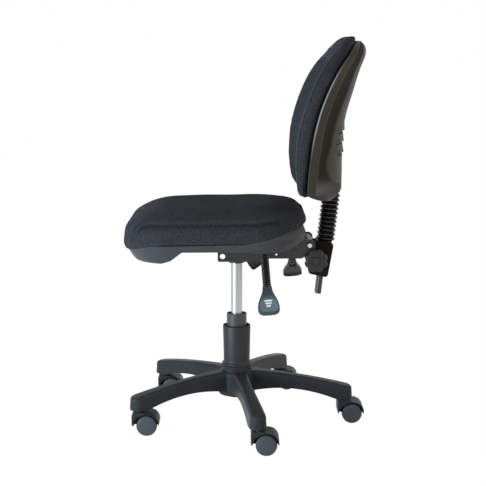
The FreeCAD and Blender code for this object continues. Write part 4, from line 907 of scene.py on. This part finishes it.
def castors():
    """Five hoods opened round their wheels, and twin wheels with a rounded tread and a grooved, domed cap."""
    stem_circle, first_arm, trail, axle_height = 0.270, -7.4, 0.020, 0.025
    tight, opening = 0.0284, 0.0286
    profile = [(4.05, 7.0), (8.5, 7.0), (9.0, 8.2), (20.0, 8.2), (20.6, 7.0), (23.4, 7.0), (24.6, 7.8),
               (25.0, 9.2), (25.0, 21.8), (24.8, 23.6), (24.1, 25.0), (23.0, 25.7), (22.4, 25.6), (22.0, 25.3),
               (21.6, 25.5), (20.8, 26.0), (16.0, 26.5), (8.0, 26.8), (0.0, 26.9), (0.0, 22.9), (4.05, 22.9)]
    for k in range(5):
        turn = math.radians(first_arm + 72 * k)
        stem = Vector((-stem_circle * math.sin(turn), stem_circle * math.cos(turn), 0))
        axle = stem + Vector((0, trail, axle_height))
        bm = copied(f"castor_hood_{k + 1}")
        for v in bm.verts:
            out = Vector((0, v.co.y - axle.y, v.co.z - axle.z))
            if abs(v.co.x - axle.x) > 0.008 and out.z > -0.003 and out.length < tight:
                v.co += out.normalized() * (opening - out.length)
            ahead = stem.y + 0.006 - v.co.y
            if ahead > 0:
                v.co.y -= 0.30 * ahead
        made(f"castor_hood_{k + 1}_dome", bm, HOOD, f"castor_{k + 1}", "castor_nylon", f"castor_hood_{k + 1}",
             crease=35)
        for name, flip in (("left", 1), ("right", -1)):
            bm = spun(profile, 72)
            where = Matrix.Translation(axle) @ Matrix.Rotation(flip * math.pi / 2, 4, "Y")
            bmesh.ops.transform(bm, matrix=where, verts=bm.verts)
            made(f"wheel_{name}_{k + 1}_tread", bm, WHEEL, f"wheel_{name}_{k + 1}", "wheel_nylon",
                 f"castor_wheel_{name}_{k + 1}", crease=35)


seat_cushion()
back_shell()
back_cushion()
bellows()
levers()
clamp_knob()
column()
castors()


def studio():
    """A pale floor, white surroundings and soft lamps, seen from the chair's left side."""
    bpy.ops.mesh.primitive_plane_add(size=14, location=(0, 0, -0.0005))
    floor = bpy.context.object
    floor.name = "studio_floor"
    pale = Look("studio_pale", Roughness=0.9)
    pale.set(Base_Color=(0.9, 0.9, 0.9, 1))
    seen = pale.node("LightPath", output=0)
    seen = seen.most(pale.node("LightPath", output=3)).most(pale.node("LightPath", output=6))
    white = pale.node("Emission", None, {"Color": (1, 1, 1, 1), "Strength": 1.05})
    pale.mixed(seen * 0.94, white)
    floor.data.materials.append(pale.material)

    world = bpy.data.worlds.new("studio_white")
    scene.world = world
    world.use_nodes = True
    tree = world.node_tree
    tree.nodes.clear()
    path = tree.nodes.new("ShaderNodeLightPath")
    rays = path.outputs["Is Camera Ray"]
    for name in ("Is Glossy Ray", "Is Transmission Ray"):
        join = tree.nodes.new("ShaderNodeMath")
        join.operation = "MAXIMUM"
        tree.links.new(rays, join.inputs[0])
        tree.links.new(path.outputs[name], join.inputs[1])
        rays = join.outputs[0]
    blend = tree.nodes.new("ShaderNodeMix")
    blend.data_type = "FLOAT"
    blend.inputs[2].default_value = 0.23
    blend.inputs[3].default_value = 1.0
    tree.links.new(rays, blend.inputs[0])
    sky = tree.nodes.new("ShaderNodeBackground")
    sky.inputs["Color"].default_value = (1, 1, 1, 1)
    tree.links.new(blend.outputs[0], sky.inputs["Strength"])
    end = tree.nodes.new("ShaderNodeOutputWorld")
    tree.links.new(sky.outputs[0], end.inputs["Surface"])

    lamps = [
        ("front_window", (1.55, -1.95, 0.42), (0, -0.05, 0.45), 1.1, 72, (0.86, 0.94, 1.0)),
        ("rear_window", (1.0, 2.8, 1.5), (0, 0.1, 0.6), 1.4, 32, (1.0, 0.88, 0.72)),
        ("ceiling", (0.2, -0.3, 3.0), (0, 0, 0.4), 1.8, 2, (1.0, 1.0, 1.0)),
    ]
    for name, place, aim, width, power, tone in lamps:
        data = bpy.data.lights.new(name, "AREA")
        data.size = width
        data.energy = power
        data.color = tone
        lamp = bpy.data.objects.new(name, data)
        scene.collection.objects.link(lamp)
        lamp.location = place
        lamp.rotation_euler = (Vector(aim) - Vector(place)).to_track_quat("-Z", "Y").to_euler()

    data = bpy.data.cameras.new("side_view")
    data.sensor_width = 36
    data.lens = 83.44
    camera = bpy.data.objects.new("side_view", data)
    scene.collection.objects.link(camera)
    camera.location = (2.7561, 0.0158, 0.9294)
    pitch = 9.924
    camera.rotation_euler = (math.radians(90 - pitch), 0, math.radians(90))
    scene.camera = camera
    scene.view_settings.view_transform = "Standard"


studio()
